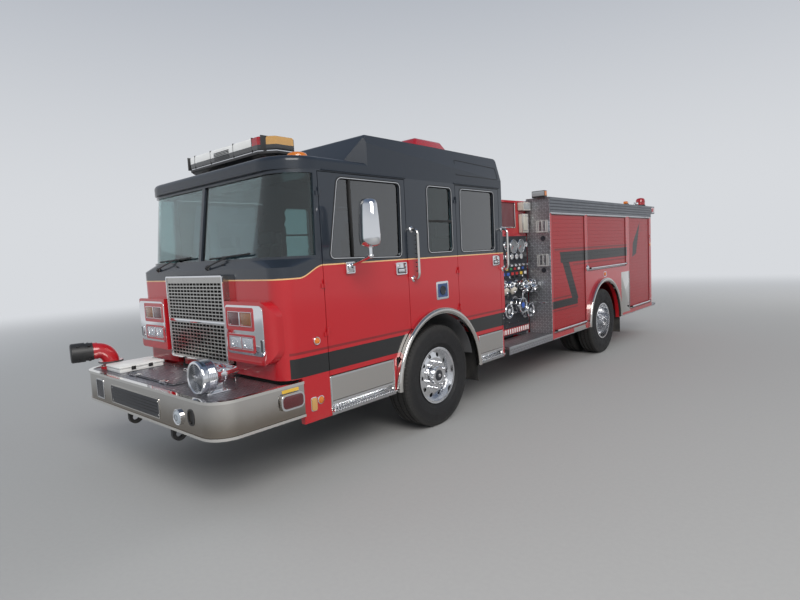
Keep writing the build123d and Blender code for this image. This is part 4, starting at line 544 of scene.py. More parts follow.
def as_object(bm, name, body, finishes, smooth=None):
    """Moves a mesh from its stations to the frame, and lets it ride a body."""
    bmesh.ops.translate(bm, verts=bm.verts[:], vec=(0, AXLE_Y, 0))
    mesh = bpy.data.meshes.new(name)
    bm.to_mesh(mesh)
    bm.free()
    for finish in finishes:
        mesh.materials.append(finish)
    mesh.shade_smooth()
    if smooth:
        mesh.set_sharp_from_angle(angle=math.radians(smooth))
    obj = bpy.data.objects.new(name, mesh)
    bpy.context.scene.collection.objects.link(obj)
    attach(obj, body)
    return obj


class Workpiece:
    """A mesh in the making. Each form brings its own finish. A way of -1 makes the mirror image."""

    def __init__(self, body, way=1):
        self.body, self.way = body, way
        self.bm = bmesh.new()
        self.finishes = []

    def finished_in(self, known, finish):
        if finish not in self.finishes:
            self.finishes.append(finish)
        fresh = [f for f in self.bm.faces if f not in known]
        for f in fresh:
            f.material_index = self.finishes.index(finish)
        return fresh

    def soften(self, geom, width, segments=2, affect="EDGES"):
        bmesh.ops.bevel(
            self.bm, geom=geom, offset=width, offset_type="OFFSET", segments=segments,
            profile=0.5, affect=affect, material=-1, clamp_overlap=True,
        )

    def block(self, low, high, finish, edge=0.002, segments=2, top=None):
        """A block between two corners, its upper side drawn in by top, its edges softened."""
        known = set(self.bm.faces)
        low, high = Vector(low), Vector(high)
        verts = bmesh.ops.create_cube(self.bm, size=1.0)["verts"]
        bmesh.ops.scale(self.bm, verts=verts, vec=high - low)
        if top:
            bmesh.ops.scale(self.bm, verts=[v for v in verts if v.co.z > 0], vec=(*top, 1.0))
        bmesh.ops.translate(self.bm, verts=verts, vec=(low + high) / 2)
        if edge:
            self.soften(list({e for v in verts for e in v.link_edges}), edge, segments)
        return self.finished_in(known, finish)

    def turned(self, points, centre, axis, finish, steps=32):
        """A lathe-turned form: (distance along the axis, radius) points spun round it."""
        known = set(self.bm.faces)
        centre, axis = Vector(centre), Vector(axis).normalized()
        side = axis.orthogonal().normalized()
        line = [self.bm.verts.new(centre + axis * a + side * r) for a, r in points]
        edges = [self.bm.edges.new(pair) for pair in zip(line, line[1:])]
        bmesh.ops.spin(
            self.bm, geom=line + edges, cent=centre, axis=axis, angle=math.tau, steps=steps, use_merge=True
        )
        fresh = self.finished_in(known, finish)
        bmesh.ops.remove_doubles(self.bm, verts=list({v for f in fresh for v in f.verts}), dist=1e-6)
        return [f for f in fresh if f.is_valid]

    def stud(self, spot, axis, radius, shoulder, height, top, crown=0.0, finish=STAINLESS, sides=6):
        """A bolt head or button, straight up to its shoulder and drawn in to its top."""
        points = [(0, radius), (shoulder, radius), (height, top), (height + crown, 0.0)]
        self.turned(points, spot, axis, finish, sides)

    def rod(self, points, radius, finish, sides=12):
        """A round bar along the points, closed at both ends."""
        known = set(self.bm.faces)
        points = [Vector(p) for p in points]
        last = None
        for n, p in enumerate(points):
            way = points[min(n + 1, len(points) - 1)] - points[max(n - 1, 0)]
            place = Matrix.Translation(p) @ way.to_track_quat("Z", "Y").to_matrix().to_4x4()
            ring = bmesh.ops.create_circle(
                self.bm, cap_ends=n in (0, len(points) - 1), segments=sides, radius=radius, matrix=place
            )["verts"]
            edges = list({e for v in ring for e in v.link_edges})
            if last:
                bmesh.ops.bridge_loops(self.bm, edges=last + edges)
            last = edges
        return self.finished_in(known, finish)

    def flat(self, points, corner, steps):
        face = self.bm.faces.new([self.bm.verts.new(p) for p in points])
        if corner:
            self.soften(list(face.verts), corner, steps, "VERTICES")

    def pushed_out(self, faces, push):
        made = bmesh.ops.extrude_face_region(self.bm, geom=faces)["geom"]
        bmesh.ops.translate(self.bm, verts=[g for g in made if isinstance(g, bmesh.types.BMVert)], vec=push)

    def plate(self, points, push, finish, corner=0.0, edge=0.0, steps=4):
        """A flat form with these corners, rounded and pushed out to its thickness."""
        known = set(self.bm.faces)
        self.flat(points, corner, steps)
        self.pushed_out([f for f in self.bm.faces if f not in known], push)
        if edge:
            edges = {e for f in self.bm.faces if f not in known for e in f.edges}
            self.soften([e for e in edges if len(e.link_faces) == 2 and e.calc_face_angle(0) > 0.9], edge)
        return self.finished_in(known, finish)

    def framed(self, points, push, width, finish, corner=0.0, steps=4):
        """A flat frame of one width inside these corners."""
        known = set(self.bm.faces)
        self.flat(points, corner, steps)
        inner = [f for f in self.bm.faces if f not in known]
        ring = bmesh.ops.inset_region(
            self.bm, faces=inner, thickness=width, use_even_offset=True, use_boundary=True
        )
        bmesh.ops.delete(self.bm, geom=inner, context="FACES_ONLY")
        self.pushed_out([f for f in ring["faces"] if f.is_valid], push)
        return self.finished_in(known, finish)

    def swung(self, faces, centre, angle):
        """Turns the given faces round a crosswise axis through the centre."""
        verts = list({v for f in faces if f.is_valid for v in f.verts})
        turn = Matrix.Rotation(math.radians(angle), 3, "X")
        bmesh.ops.rotate(self.bm, verts=verts, cent=centre, matrix=turn)

    def mirrored(self):
        """Adds a mirror copy of all that is here, for the vehicle's other side."""
        geom = self.bm.verts[:] + self.bm.edges[:] + self.bm.faces[:]
        bmesh.ops.mirror(self.bm, geom=geom, merge_dist=1e-7, axis="X")

    def done(self, name, replaces=None, smooth=35.0):
        bm = self.bm
        if self.way < 0:
            bmesh.ops.scale(bm, verts=bm.verts[:], vec=(-1, 1, 1))
        bmesh.ops.remove_doubles(bm, verts=bm.verts, dist=1e-6)
        bmesh.ops.recalc_face_normals(bm, faces=bm.faces)
        obj = as_object(bm, name, self.body, self.finishes, smooth)
        if replaces:
            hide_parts(replaces)


def bent(points, radius, steps=6):
    """The points of a bar whose corners are bent to a radius."""
    points = [Vector(p) for p in points]
    out = [points[0]]
    for a, p, b in zip(points, points[1:], points[2:]):
        u, v = (a - p).normalized(), (b - p).normalized()
        half = u.angle(v) / 2
        middle = p + (u + v).normalized() * (radius / math.sin(half))
        start = (p + u * (radius / math.tan(half)) - middle).normalized()
        end = (p + v * (radius / math.tan(half)) - middle).normalized()
        out += [middle + start.slerp(end, n / steps).normalized() * radius for n in range(steps + 1)]
    return out + [points[-1]]


def on_side(x, depth, outline):
    """Corners and push of a flat form that faces sideways, from (station, height) points."""
    return [(x, s, z) for s, z in outline], (depth, 0, 0)


def on_end(station, depth, outline):
    """Corners and push of a flat form that faces the front or rear, from (x, height) points."""
    return [(x, station, z) for x, z in outline], (0, depth, 0)


def around(count, first, radius, a, b):
    """Angles and places of a circle of things, round a centre in some plane."""
    for n in range(count):
        angle = first + math.tau * n / count
        yield angle, a + radius * math.cos(angle), b + radius * math.sin(angle)


def grown(outline, by):
    """An outline with every edge moved outwards by the same width."""
    turn = sum(a[0] * b[1] - b[0] * a[1] for a, b in zip(outline, outline[1:] + outline[:1]))
    by = by if turn > 0 else -by
    lines = []
    for (x0, y0), (x1, y1) in zip(outline, outline[1:] + outline[:1]):
        long = math.hypot(x1 - x0, y1 - y0)
        nx, ny = (y1 - y0) / long, -(x1 - x0) / long
        lines.append((nx, ny, nx * x0 + ny * y0 + by))
    out = []
    for (a, b, c), (d, e, f) in zip(lines[-1:] + lines[:-1], lines):
        det = a * e - b * d
        out.append(((c * e - b * f) / det, (a * f - c * d) / det))
    return out


# Front end

def make_siren():
    """The mechanical siren: a ringed face, a grooved rotor housing and a bullet-shaped motor on a foot."""
    w = Workpiece("chassis")
    x, front, z, foot = 0.880, -2.566, 1.015, 0.890
    face = [(0.010, 0.0), (0.001, 0.0), (0.000, 0.014), (0.005, 0.026), (0.013, 0.029), (0.013, 0.034)]
    shell = [
        (0.020, 0.0), (0.020, 0.1035), (0.006, 0.106), (0.001, 0.112), (0.003, 0.124), (0.010, 0.129),
        (0.020, 0.1295), (0.040, 0.1285), (0.044, 0.124),
    ]
    for n in range(5):
        r, a = 0.034 + n * 0.0135, 0.046 + n * 0.0140
        face += [(0.013, r + 0.001), (0.003, r + 0.003), (0.002, r + 0.0065)]
        face += [(0.004, r + 0.009), (0.013, r + 0.0105)]
        shell += [(a, 0.120), (a + 0.003, 0.1270), (a + 0.0100, 0.1270), (a + 0.0125, 0.120)]
    shell += [
        (0.118, 0.124), (0.126, 0.112), (0.134, 0.104), (0.140, 0.102), (0.146, 0.088), (0.152, 0.084),
        (0.206, 0.075), (0.210, 0.078), (0.216, 0.078), (0.220, 0.072), (0.250, 0.064), (0.300, 0.047),
        (0.338, 0.032), (0.356, 0.024), (0.366, 0.0),
    ]
    w.turned(face + [(0.022, 0.102), (0.022, 0.0)], (x, front, z), AFT, WORN_CHROME, 48)
    w.turned(shell, (x, front, z), AFT, CHROME, 48)
    w.block((x - 0.060, front + 0.060, 0.876), (x + 0.060, front + 0.250, foot), CHROME, 0.004)
    w.block((x - 0.035, front + 0.090, 0.888), (x + 0.035, front + 0.210, 0.960), CHROME, 0.008, 3)
    for dx in (-0.048, 0.048):
        for s in (0.076, 0.232):
            w.stud((x + dx, front + s, foot), UP, 0.011, 0.009, 0.012, 0.006, 0.001)
    w.done("siren_body", "siren")


def make_lightbar():
    """The lightbar across the low roof: clear and coloured cells over a black base on two feet."""
    w = Workpiece("cab")
    plan = [(-0.585, -1.670), (0.585, -1.670), (0.715, -1.560), (0.715, -1.370), (0.640, -1.310)]
    plan += [(-0.640, -1.310), (-0.715, -1.370), (-0.715, -1.560)]
    cuts = (-0.64, -0.50, -0.20, 0.20, 0.50, 0.64)
    floor, split = 2.812, 2.862
    for z, by, depth, finish, edge in (
        (2.782, 0.0, 0.024, BLACK_PLASTIC, 0.003),
        (2.806, -0.008, 0.008, CHROME, 0.0),
        (floor, -0.003, 0.126, CLEAR_LENS, 0.022),
    ):
        w.plate([(x, s, z) for x, s in grown(plan, by)], (0, 0, depth), finish, edge=edge)
    for place, way in [((cut, 0, 0), OUT) for cut in cuts] + [((0, 0, split), UP)]:
        faces = [f for f in w.bm.faces if f.calc_center_median().z > floor - 0.001]
        geom = {g for f in faces for g in (f, *f.edges, *f.verts)}
        bmesh.ops.bisect_plane(w.bm, geom=list(geom), plane_co=place, plane_no=way)
    w.finishes += [RED_LENS, PALE_AMBER_LENS, SMOKED_LENS, WHITE_PLASTIC]
    for f in w.bm.faces:
        c = f.calc_center_median()
        if c.z > split:
            cell = PALE_AMBER_LENS if c.x > 0.64 else RED_LENS if c.x > 0.50 else WHITE_PLASTIC
        else:
            cell = SMOKED_LENS
        if c.z >= floor + 0.0001:
            f.material_index = w.finishes.index(cell)
    for cut in cuts:
        w.block((cut - 0.004, -1.668, 2.810), (cut + 0.004, -1.312, 2.9375), BLACK_PLASTIC)
    for n in range(6):
        z = 2.828 + n * 0.013
        w.block((-0.130, -1.6715, z), (0.130, -1.664, z + 0.006), BLACK_PLASTIC, 0.001)
    for a, b in ((-0.520, -0.380), (0.380, 0.520)):
        w.block((a, -1.590, BAR_Z), (b, -1.390, 2.783), STAINLESS, 0.006)
        w.block((a - 0.012, -1.606, BAR_Z), (b + 0.012, -1.374, 2.692), STAINLESS)
    w.done("lightbar", "roof_lights")


def make_beacons():
    """Amber domes at the corners of the low roof and red beacons on the raised roof."""
    w = Workpiece("cab")
    foot = [(0, 0.0), (0, 0.096), (0.006, 0.096), (0.012, 0.092), (0.013, 0.0)]
    dome = [(0.012, 0.0), (0.012, 0.088), (0.030, 0.086), (0.044, 0.074), (0.053, 0.050), (0.058, 0.0)]
    w.turned(foot, (1.005, -1.575, BAR_Z), UP, BLACK_PLASTIC)
    w.turned(dome, (1.005, -1.575, BAR_Z), UP, AMBER_LENS)
    w.block((0.690, -0.030, 2.935), (1.010, 0.590, 2.958), BLACK_PLASTIC, 0.008)
    w.block((0.695, -0.025, 2.957), (1.005, 0.585, 3.0735), RED_LENS, 0.028, 5, top=(0.66, 0.72))
    w.block((0.738, 0.262, 2.957), (0.962, 0.298, 3.0745), DEEP_RED_LENS, 0.022, 4, top=(0.80, 1.0))
    for s in (0.02, 0.54):
        w.block((0.765, s - 0.03, 2.957), (0.935, s + 0.03, 2.972), STAINLESS, 0.004)
    w.mirrored()
    w.done("roof_beacons")


def make_headlamps():
    """Two rows of square lamps a side in bright frames, and the round side markers."""
    w = Workpiece("cab")
    rim = [(0, 0.040), (-0.0018, 0.0395), (-0.0022, 0.036), (0, 0.035)]
    bulb = [(0.0, 0.0), (-0.002, 0.004), (-0.0015, 0.011), (0.001, 0.013), (0.002, 0.0)]
    for z0, z1, lenses in (
        (1.147, 1.253, (HEADLAMP_LENS, HEADLAMP_LENS)),
        (1.336, 1.456, (DEEP_RED_LENS, DEEP_AMBER_LENS)),
    ):
        w.block((0.598, -2.0685, z0 - 0.006), (0.960, -2.0665, z1 + 0.007), CHROME, 0.0)
        for (x0, x1), glass in zip(((0.606, 0.775), (0.783, 0.952)), lenses):
            w.framed(*on_end(-2.0972, 0.030, oblong(x0, x1, z0, z1)), 0.005, CHROME, 0.010)
            w.block((x0 + 0.006, -2.0965, z0 + 0.006), (x1 - 0.006, -2.0685, z1 - 0.006), glass, 0.010, 3)
            if glass is HEADLAMP_LENS:
                middle = ((x0 + x1) / 2, -2.0962, (z0 + z1) / 2)
                w.turned(rim, middle, AFT, CHROME)
                w.turned(bulb, middle, AFT, CHROME, 20)
        w.block((0.774, -2.0978, z0 + 0.002), (0.784, -2.067, z1 - 0.002), CHROME)
    ring = [(0.0, 0.0), (0.0, 0.0345), (0.012, 0.0345), (0.016, 0.031), (0.014, 0.026), (0.010, 0.0)]
    dome = [(0.010, 0.0), (0.012, 0.0255), (0.022, 0.022), (0.028, 0.012), (0.030, 0.0)]
    w.turned(ring, (CAB_SEAT, -1.668, 1.180), OUT, CHROME)
    w.turned(dome, (CAB_X, -1.668, 1.180), OUT, AMBER_LENS)
    w.mirrored()
    w.done("headlamp_units", "headlamps")

    w = Workpiece("cab")
    w.plate(*on_end(-2.0915, 0.0045, oblong(0.556, 1.100, 1.106, 1.508)), CHROME, 0.050, 0.0015, 6)
    for z0, z1 in ((1.126, 1.270), (1.302, 1.490)):
        w.framed(*on_end(-2.0950, 0.005, oblong(0.574, 0.976, z0, z1)), 0.016, PLAIN_RED, 0.016)
        w.plate(*on_end(-2.0930, 0.0025, oblong(0.580, 0.970, z0 + 0.006, z1 - 0.006)), PLAIN_RED, 0.012)
    w.framed(*on_end(-2.0945, 0.004, oblong(1.046, 1.090, 1.136, 1.246)), 0.006, CHROME, 0.012)
    w.plate(*on_end(-2.0940, 0.003, oblong(1.051, 1.085, 1.141, 1.241)), SMOKED_LENS, 0.010)
    w.mirrored()
    w.done("headlight_trim")


def make_grille_back():
    """The dark core behind the bright mesh, with its upright fins, and the frame round the mesh."""
    w = Workpiece("cab")
    w.block((-0.478, -2.026, 1.008), (0.478, -2.012, 1.722), CORE_DARK, 0.001)
    for n in range(31):
        x = -0.465 + n * 0.031
        w.block((x - 0.002, -2.0295, 1.012), (x + 0.002, -2.025, 1.718), BLACK_PLASTIC, 0.0)
    w.done("grille_core")
    w = Workpiece("cab")
    w.framed(*on_end(-2.0675, 0.010, oblong(-0.512, 0.512, 0.980, 1.751)), 0.014, CHROME, 0.018)
    w.block((-0.500, -2.0665, 1.324), (0.500, -2.058, 1.350), CHROME, 0.003)
    w.done("grille_frame")


def make_bumper_fittings():
    """Speaker, dark panel, slot, round lamp and side lamps set in the polished bumper."""
    w = Workpiece("chassis")
    face = -2.6335
    w.plate(*on_end(-2.6285, 0.005, oblong(-0.903, -0.752, 0.657, 0.816)), SPEAKER_MESH, 0.012)
    w.framed(*on_end(face, 0.004, oblong(-0.915, -0.740, 0.645, 0.828)), 0.011, CHROME, 0.016)
    w.plate(*on_end(-2.6305, 0.004, oblong(-0.562, 0.382, 0.655, 0.799)), PANEL_BLACK, 0.014)
    w.framed(*on_end(face, 0.004, oblong(-0.574, 0.394, 0.643, 0.811)), 0.010, STAINLESS, 0.018)
    for n in range(4):
        z = 0.684 + n * 0.026
        w.block((-0.530, -2.6325, z), (0.350, -2.630, z + 0.008), BLACK_PLASTIC, 0.001)
    for x in (-0.545, 0.365):
        for z in (0.672, 0.782):
            head = [(0, 0.0), (-0.003, 0.003), (-0.002, 0.007), (0, 0.008)]
            w.turned(head, (x, -2.6305, z), AFT, STAINLESS, 12)
    w.framed(*on_end(face, 0.005, oblong(0.850, 0.950, 0.678, 0.804)), 0.012, BLACK_PLASTIC, 0.046)
    w.plate(*on_end(-2.6200, 0.004, oblong(0.858, 0.942, 0.686, 0.796)), BLACK_PLASTIC, 0.03)
    lamp = (0.712, -2.6445, 0.716)
    rim = [(0.018, 0.0), (0.018, 0.062), (-0.002, 0.062), (-0.006, 0.057)]
    rim += [(-0.003, 0.051), (0.002, 0.050), (0.002, 0.0)]
    glass = [(0.001, 0.0), (0.001, 0.0505), (-0.004, 0.047), (-0.010, 0.030), (-0.013, 0.0)]
    ring = [(-0.0115, 0.024), (-0.0125, 0.022), (-0.0120, 0.020), (-0.0105, 0.019)]
    w.turned(rim, lamp, AFT, CHROME, 40)
    w.turned(glass, lamp, AFT, HEADLAMP_LENS)
    w.turned(ring, lamp, AFT, BLACK_PLASTIC)
    w.done("bumper_face_fittings")

    w = Workpiece("chassis")
    w.framed(*on_side(1.2545, 0.007, oblong(-2.086, -1.864, 0.692, 0.820)), 0.014, CHROME, 0.045)
    w.plate(*on_side(1.2560, 0.009, oblong(-2.072, -1.878, 0.706, 0.806)), DEEP_RED_LENS, 0.034, 0.003)
    w.plate(*on_side(1.2355, 0.003, oblong(-2.060, -1.900, 0.826, 0.852)), REFLECTIVE, 0.004)
    w.mirrored()
    w.done("bumper_side_lamps")


def make_deck_fittings():
    """The pale locker top, the lid's seal, latch and grab ring, and tie-down staples on the deck."""
    w = Workpiece("chassis")
    w.block((-0.934, -2.524, 0.8765), (-0.616, -2.111, 0.915), WHITE_PLASTIC, 0.010, 3)
    w.block((-0.940, -2.530, 0.912), (-0.610, -2.105, 0.940), WHITE_PLASTIC, 0.012, 3)
    w.block((-0.880, -2.470, 0.938), (-0.670, -2.165, 0.9425), WHITE_PLASTIC, 0.003)
    for s in (-2.40, -2.24):
        w.block((-0.616, s - 0.02, 0.898), (-0.604, s + 0.02, 0.930), BLACK_PLASTIC, 0.003)
    for x in (0.46, 0.66):
        staple = [(x, -2.10, 0.876), (x, -2.10, 0.906), (x, -2.20, 0.906), (x, -2.20, 0.876)]
        w.rod(bent(staple, 0.012), 0.005, STAINLESS)
    for x in (-0.50, 0.50):
        for s in (-2.585, -2.06):
            w.stud((x, s, 0.8757), UP, 0.012, 0.004, 0.007, 0.007, 0.001, sides=12)
    w.done("deck_fittings")

    w = Workpiece("hose_well_lid")
    lid = [(x, s, 0.8895) for x, s in oblong(-0.562, 0.347, -2.489, -2.110)]
    w.framed(lid, (0, 0, 0.002), 0.006, SEAL, 0.02)
    w.block((-0.155, -2.165, 0.889), (-0.055, -2.125, 0.894), STAINLESS)
    ring = [(x, -2.145, z) for x, z in ((-0.135, 0.892), (-0.135, 0.905), (-0.075, 0.905), (-0.075, 0.892))]
    w.rod(bent(ring, 0.008), 0.004, CHROME)
    for x in (-0.36, 0.16):
        w.block((x - 0.045, -2.492, 0.889), (x + 0.045, -2.440, 0.893), STAINLESS, 0.0015)
    w.done("lid_fittings")


def make_outlet_details():
    """Bolts round the elbow's foot, and the knurled band of its swivel."""
    w = Workpiece("chassis")
    x, s = -1.065, -2.430
    for angle, bx, bs in around(8, math.radians(22.5), 0.085, x, s):
        w.stud((bx, bs, 0.902), UP, 0.010, 0.007, 0.009, 0.006)
    for angle, bx, bs in around(24, 0.0, 0.108, x, s):
        knurl = [(-0.004, 0.0), (-0.004, 0.004), (0.004, 0.004), (0.004, 0.0)]
        w.turned(knurl, (bx, bs, 0.942), (math.cos(angle), math.sin(angle), 0), CAST_IRON, 6)
    band = [(0.0, 0.1085), (0.0, 0.1095), (0.016, 0.1095), (0.016, 0.1085)]
    w.turned(band, (x, s, 0.934), UP, CAST_IRON, 40)
    w.done("outlet_fasteners")


# Cab

def make_window_trims():
    """Rubber and bright beads round the side windows, those of the doors riding with them."""
    front = [(-1.455, 1.850), (-1.330, 2.520), (-0.535, 2.520), (-0.552, 1.828)]
    crew = [(0.465, 1.842), (0.475, 2.520), (1.160, 2.520), (1.150, 1.842)]
    fixed = [(-0.120, 1.852), (-0.112, 2.520), (0.300, 2.520), (0.295, 1.852)]
    for door, outline, name in (
        ("front_{}_door", front, "front_window_trim"),
        ("crew_{}_door", crew, "crew_window_trim"),
        ("cab", fixed, "fixed_window_trim"),
    ):
        for side, way in SIDES:
            w = Workpiece(door.format(side), way)
            w.framed(*on_side(CAB_X - 0.002, 0.005, grown(outline, 0.016)), 0.020, SEAL, 0.058, 6)
            w.framed(*on_side(CAB_X + 0.002, 0.0025, grown(outline, 0.007)), 0.005, CHROME, 0.050, 6)
            if outline is fixed:
                w.block((CAB_X - 0.019, -0.118, 2.160), (CAB_X + 0.001, 0.296, 2.182), SEAL, 0.003)
            if outline is front:
                w.block((CAB_X - 0.021, -1.196, 1.842), (CAB_X + 0.001, -1.178, 2.519), SEAL, 0.003)
            w.done(f"{name}_{side}")


def make_wipers():
    """Two parked wipers on the black cowl, with their pivots and washer jets."""
    def off_glass(x, z, gap):
        """A place this far in front of the leaning windscreen."""
        return Vector((x, -1.978 + (z - 1.88) * 0.152 - gap, z))

    w = Workpiece("cab")
    lift = Vector((0, -0.010, 0))
    pivot = [(0, 0.0), (0, 0.026), (0.012, 0.022), (0.024, 0.014), (0.028, 0.0)]
    for x, near, far in ((0.170, 0.210, 0.830), (-0.790, -0.750, -0.130)):
        root = Vector((x, -2.003, 1.815))
        w.turned(pivot, root - lift, (0, -1, 0.2), BLACK_PLASTIC, 20)
        hold = off_glass((near + far) / 2, 1.905, 0.022)
        arm = [root + Vector((0, -0.014, 0.002)), root.lerp(hold, 0.5) + Vector((0, -0.018, 0.0)), hold]
        w.rod(arm, 0.007, BLACK_PLASTIC, 8)
        low, high = off_glass(near, 1.893, 0.012), off_glass(far, 1.917, 0.012)
        w.rod([low, low.lerp(high, 0.5), high], 0.008, SEAL, 8)
        w.rod([low.lerp(high, 0.12) + lift, hold, low.lerp(high, 0.88) + lift], 0.005, BLACK_PLASTIC, 8)
    for x in (-0.42, 0.42):
        w.block((x - 0.014, -2.0035, 1.836), (x + 0.014, -1.985, 1.846), BLACK_PLASTIC, 0.003)
    w.done("wipers")


MIRROR_X, MIRROR_Y = 1.520, -1.290     # middle of the left mirror's head
ARM_Y, ARM_Z = -1.250, 1.765     # where its arm leaves the door


def make_mirror_details():
    """Mirror glasses, the bright rings at the stem and the bracket bolts, on each front door."""
    x, back = MIRROR_X, -1.2555
    collar = [(0, 0.0155), (0, 0.024), (0.003, 0.026), (0.014, 0.026), (0.017, 0.024), (0.017, 0.0155)]
    flange = [(0.0, 0.0135), (0.0, 0.030), (0.004, 0.033), (0.012, 0.033), (0.016, 0.028), (0.020, 0.0135)]
    edge = [(x - 0.088, 1.945), (x + 0.088, 1.945), (x + 0.070, 2.298), (x - 0.070, 2.298)]
    panes = (
        [edge[0], edge[1], (x + 0.083, 2.045), (x - 0.083, 2.045)],
        [(x - 0.082, 2.062), (x + 0.082, 2.062), edge[2], edge[3]],
    )
    for side, way in SIDES:
        w = Workpiece(f"front_{side}_door", way)
        w.framed(*on_end(back, 0.005, edge), 0.008, BLACK_PLASTIC, 0.045, 6)
        for outline in panes:
            w.plate(*on_end(back, 0.003, grown(outline, -0.008)), MIRROR_GLASS, 0.02)
        for z in (1.842, 1.918):
            w.turned(collar, (x, MIRROR_Y, z), UP, CHROME, 24)
        w.turned(flange, (1.2315, ARM_Y, ARM_Z), OUT, CHROME, 24)
        w.framed(*on_side(1.2325, 0.003, oblong(-1.298, -1.202, 1.707, 1.806)), 0.006, CHROME, 0.010)
        for s in (-1.286, -1.214):
            for z in (1.722, 1.792):
                w.stud((1.232, s, z), OUT, 0.007, 0.004, 0.006, 0.004)
        w.done(f"mirror_details_{side}")


def make_mirror_heads():
    """Chromed mirror heads with rounded ends and flat backs, on their stems and arms."""
    x, y, low, high = MIRROR_X, MIRROR_Y, 1.925, 2.318
    long = high - low
    head = [(0.0, 0.0), (0.0, 0.040), (0.006, 0.066), (0.020, 0.090), (0.045, 0.1015), (0.090, 0.1035)]
    head += [(long * 0.55, 0.0965), (long - 0.050, 0.0865), (long - 0.020, 0.075)]
    head += [(long - 0.005, 0.050), (long, 0.0)]
    knuckle = [(-0.012, 0.0), (-0.010, 0.014), (0, 0.020), (0.010, 0.014), (0.012, 0.0)]
    for side, way in SIDES:
        w = Workpiece(f"front_{side}_door", way)
        made = w.turned(head, (0, 0, low), UP, CHROME, 48)
        verts = list({v for f in made for v in f.verts})
        bmesh.ops.scale(w.bm, verts=verts, vec=(1.0, 0.742, 1.0))
        bmesh.ops.translate(w.bm, verts=verts, vec=(x, y, 0))
        geom = list({g for f in made for g in (f, *f.edges, *f.verts)})
        cut = bmesh.ops.bisect_plane(
            w.bm, geom=geom, plane_co=(x, -1.2575, 2), plane_no=AFT, clear_outer=True
        )
        rim = [g for g in cut["geom_cut"] if isinstance(g, bmesh.types.BMEdge)]
        bmesh.ops.contextual_create(w.bm, geom=rim)
        w.rod([(x, y, low - 0.090), (x, y, low + 0.010)], 0.015, CHROME, 16)
        w.rod([(1.220, ARM_Y, ARM_Z), (x, y, low - 0.078)], 0.013, CHROME, 16)
        w.turned(knuckle, (x, y, low - 0.084), UP, CHROME, 24)
        w.block((CAB_SEAT, -1.300, 1.705), (1.232, -1.200, 1.808), CHROME, 0.005, 3)
        w.done(f"mirror_head_{side}", f"{side}_mirror", 50.0)


def make_door_latches():
    """Paddle latches with their pulls and lock barrels, on each door."""
    x = 1.2205
    lock = [(0, 0.012), (0.004, 0.012), (0.005, 0.009), (0.003, 0.004), (0.003, 0.0)]
    for row, front in (("front", -0.645), ("crew", 1.089)):
        for side, way in SIDES:
            w = Workpiece(f"{row}_{side}_door", way)
            plate = oblong(front - 0.002, front + 0.152, 1.655, 1.769)
            w.plate(*on_side(CAB_SEAT, 0.0115, plate), CHROME, 0.008, 0.002)
            w.framed(*on_side(x, 0.003, grown(plate, 0.001)), 0.007, CHROME, 0.012)
            # Painted shade: a flat dark plate stands for the shaded hollow behind the pull.
            hollow = oblong(front + 0.018, front + 0.128, 1.668, 1.716)
            w.plate(*on_side(x, 0.0015, hollow), PANEL_BLACK, 0.010)
            pull = oblong(front + 0.024, front + 0.122, 1.676, 1.708)
            w.plate(*on_side(x + 0.0010, 0.010, pull), CHROME, 0.010, 0.002)
            w.turned(lock, (x, front + 0.042, 1.742), OUT, STAINLESS, 20)
            w.done(f"{row}_latch_{side}")


def make_cab_side_details():
    """Drip rails, the shore power inlet, marker lamps and rail mounts on the cab's sides."""
    w = Workpiece("cab")
    for front, back in ((-1.500, -0.440), (0.360, 1.300)):
        w.rod([(1.214, front, 2.578), (1.214, back, 2.578)], 0.006, ROOF_BLACK, 8)
    inlet = oblong(-0.030, 0.180, 1.350, 1.540)
    plug = [(0, 0.050), (0.006, 0.050), (0.009, 0.046), (0.009, 0.038), (0.005, 0.034), (0.005, 0.0)]
    w.plate(*on_side(CAB_SEAT, 0.006, inlet), CHROME, 0.016, 0.002)
    w.framed(*on_side(1.2155, 0.004, grown(inlet, -0.010)), 0.008, CHROME, 0.012)
    w.plate(*on_side(1.2155, 0.003, oblong(-0.006, 0.156, 1.374, 1.516)), SOCKET_BLUE, 0.008)
    w.turned(plug, (1.218, 0.075, 1.445), OUT, PANEL_BLACK)
    flange = [(0, 0.0155), (0, 0.030), (0.005, 0.030), (0.010, 0.024), (0.016, 0.0155)]
    sleeve = [(0, 0.0152), (0.001, 0.0168), (0.010, 0.0168), (0.011, 0.0152)]
    for s in (-0.39, 1.322):
        for z in (1.600, 2.085):
            w.turned(flange, (1.2098, s, z), OUT, CHROME, 24)
        for n in range(9):
            w.turned(sleeve, (1.273, s, 1.670 + n * 0.345 / 8), UP, BLACK_PLASTIC, 16)
    w.mirrored()
    w.done("cab_side_details")

    w = Workpiece("cab")
    marker = (CAB_SEAT, -1.660, 0.685)
    button = [(0, 0.0), (0, 0.030), (0.006, 0.030), (0.012, 0.022), (0.014, 0.0)]
    w.turned(button, marker, OUT, AMBER_LENS, 24)
    w.turned([(0, 0.030), (0, 0.036), (0.004, 0.036), (0.007, 0.030)], marker, OUT, CHROME, 24)
    w.plate(*on_side(CAB_SEAT, 0.004, oblong(-1.768, -1.702, 0.606, 0.724)), CHROME, 0.020, 0.001)
    w.plate(*on_side(1.2130, 0.010, oblong(-1.762, -1.708, 0.612, 0.718)), PALE_AMBER_LENS, 0.018, 0.003)
    w.mirrored()
    w.done("valance_markers")


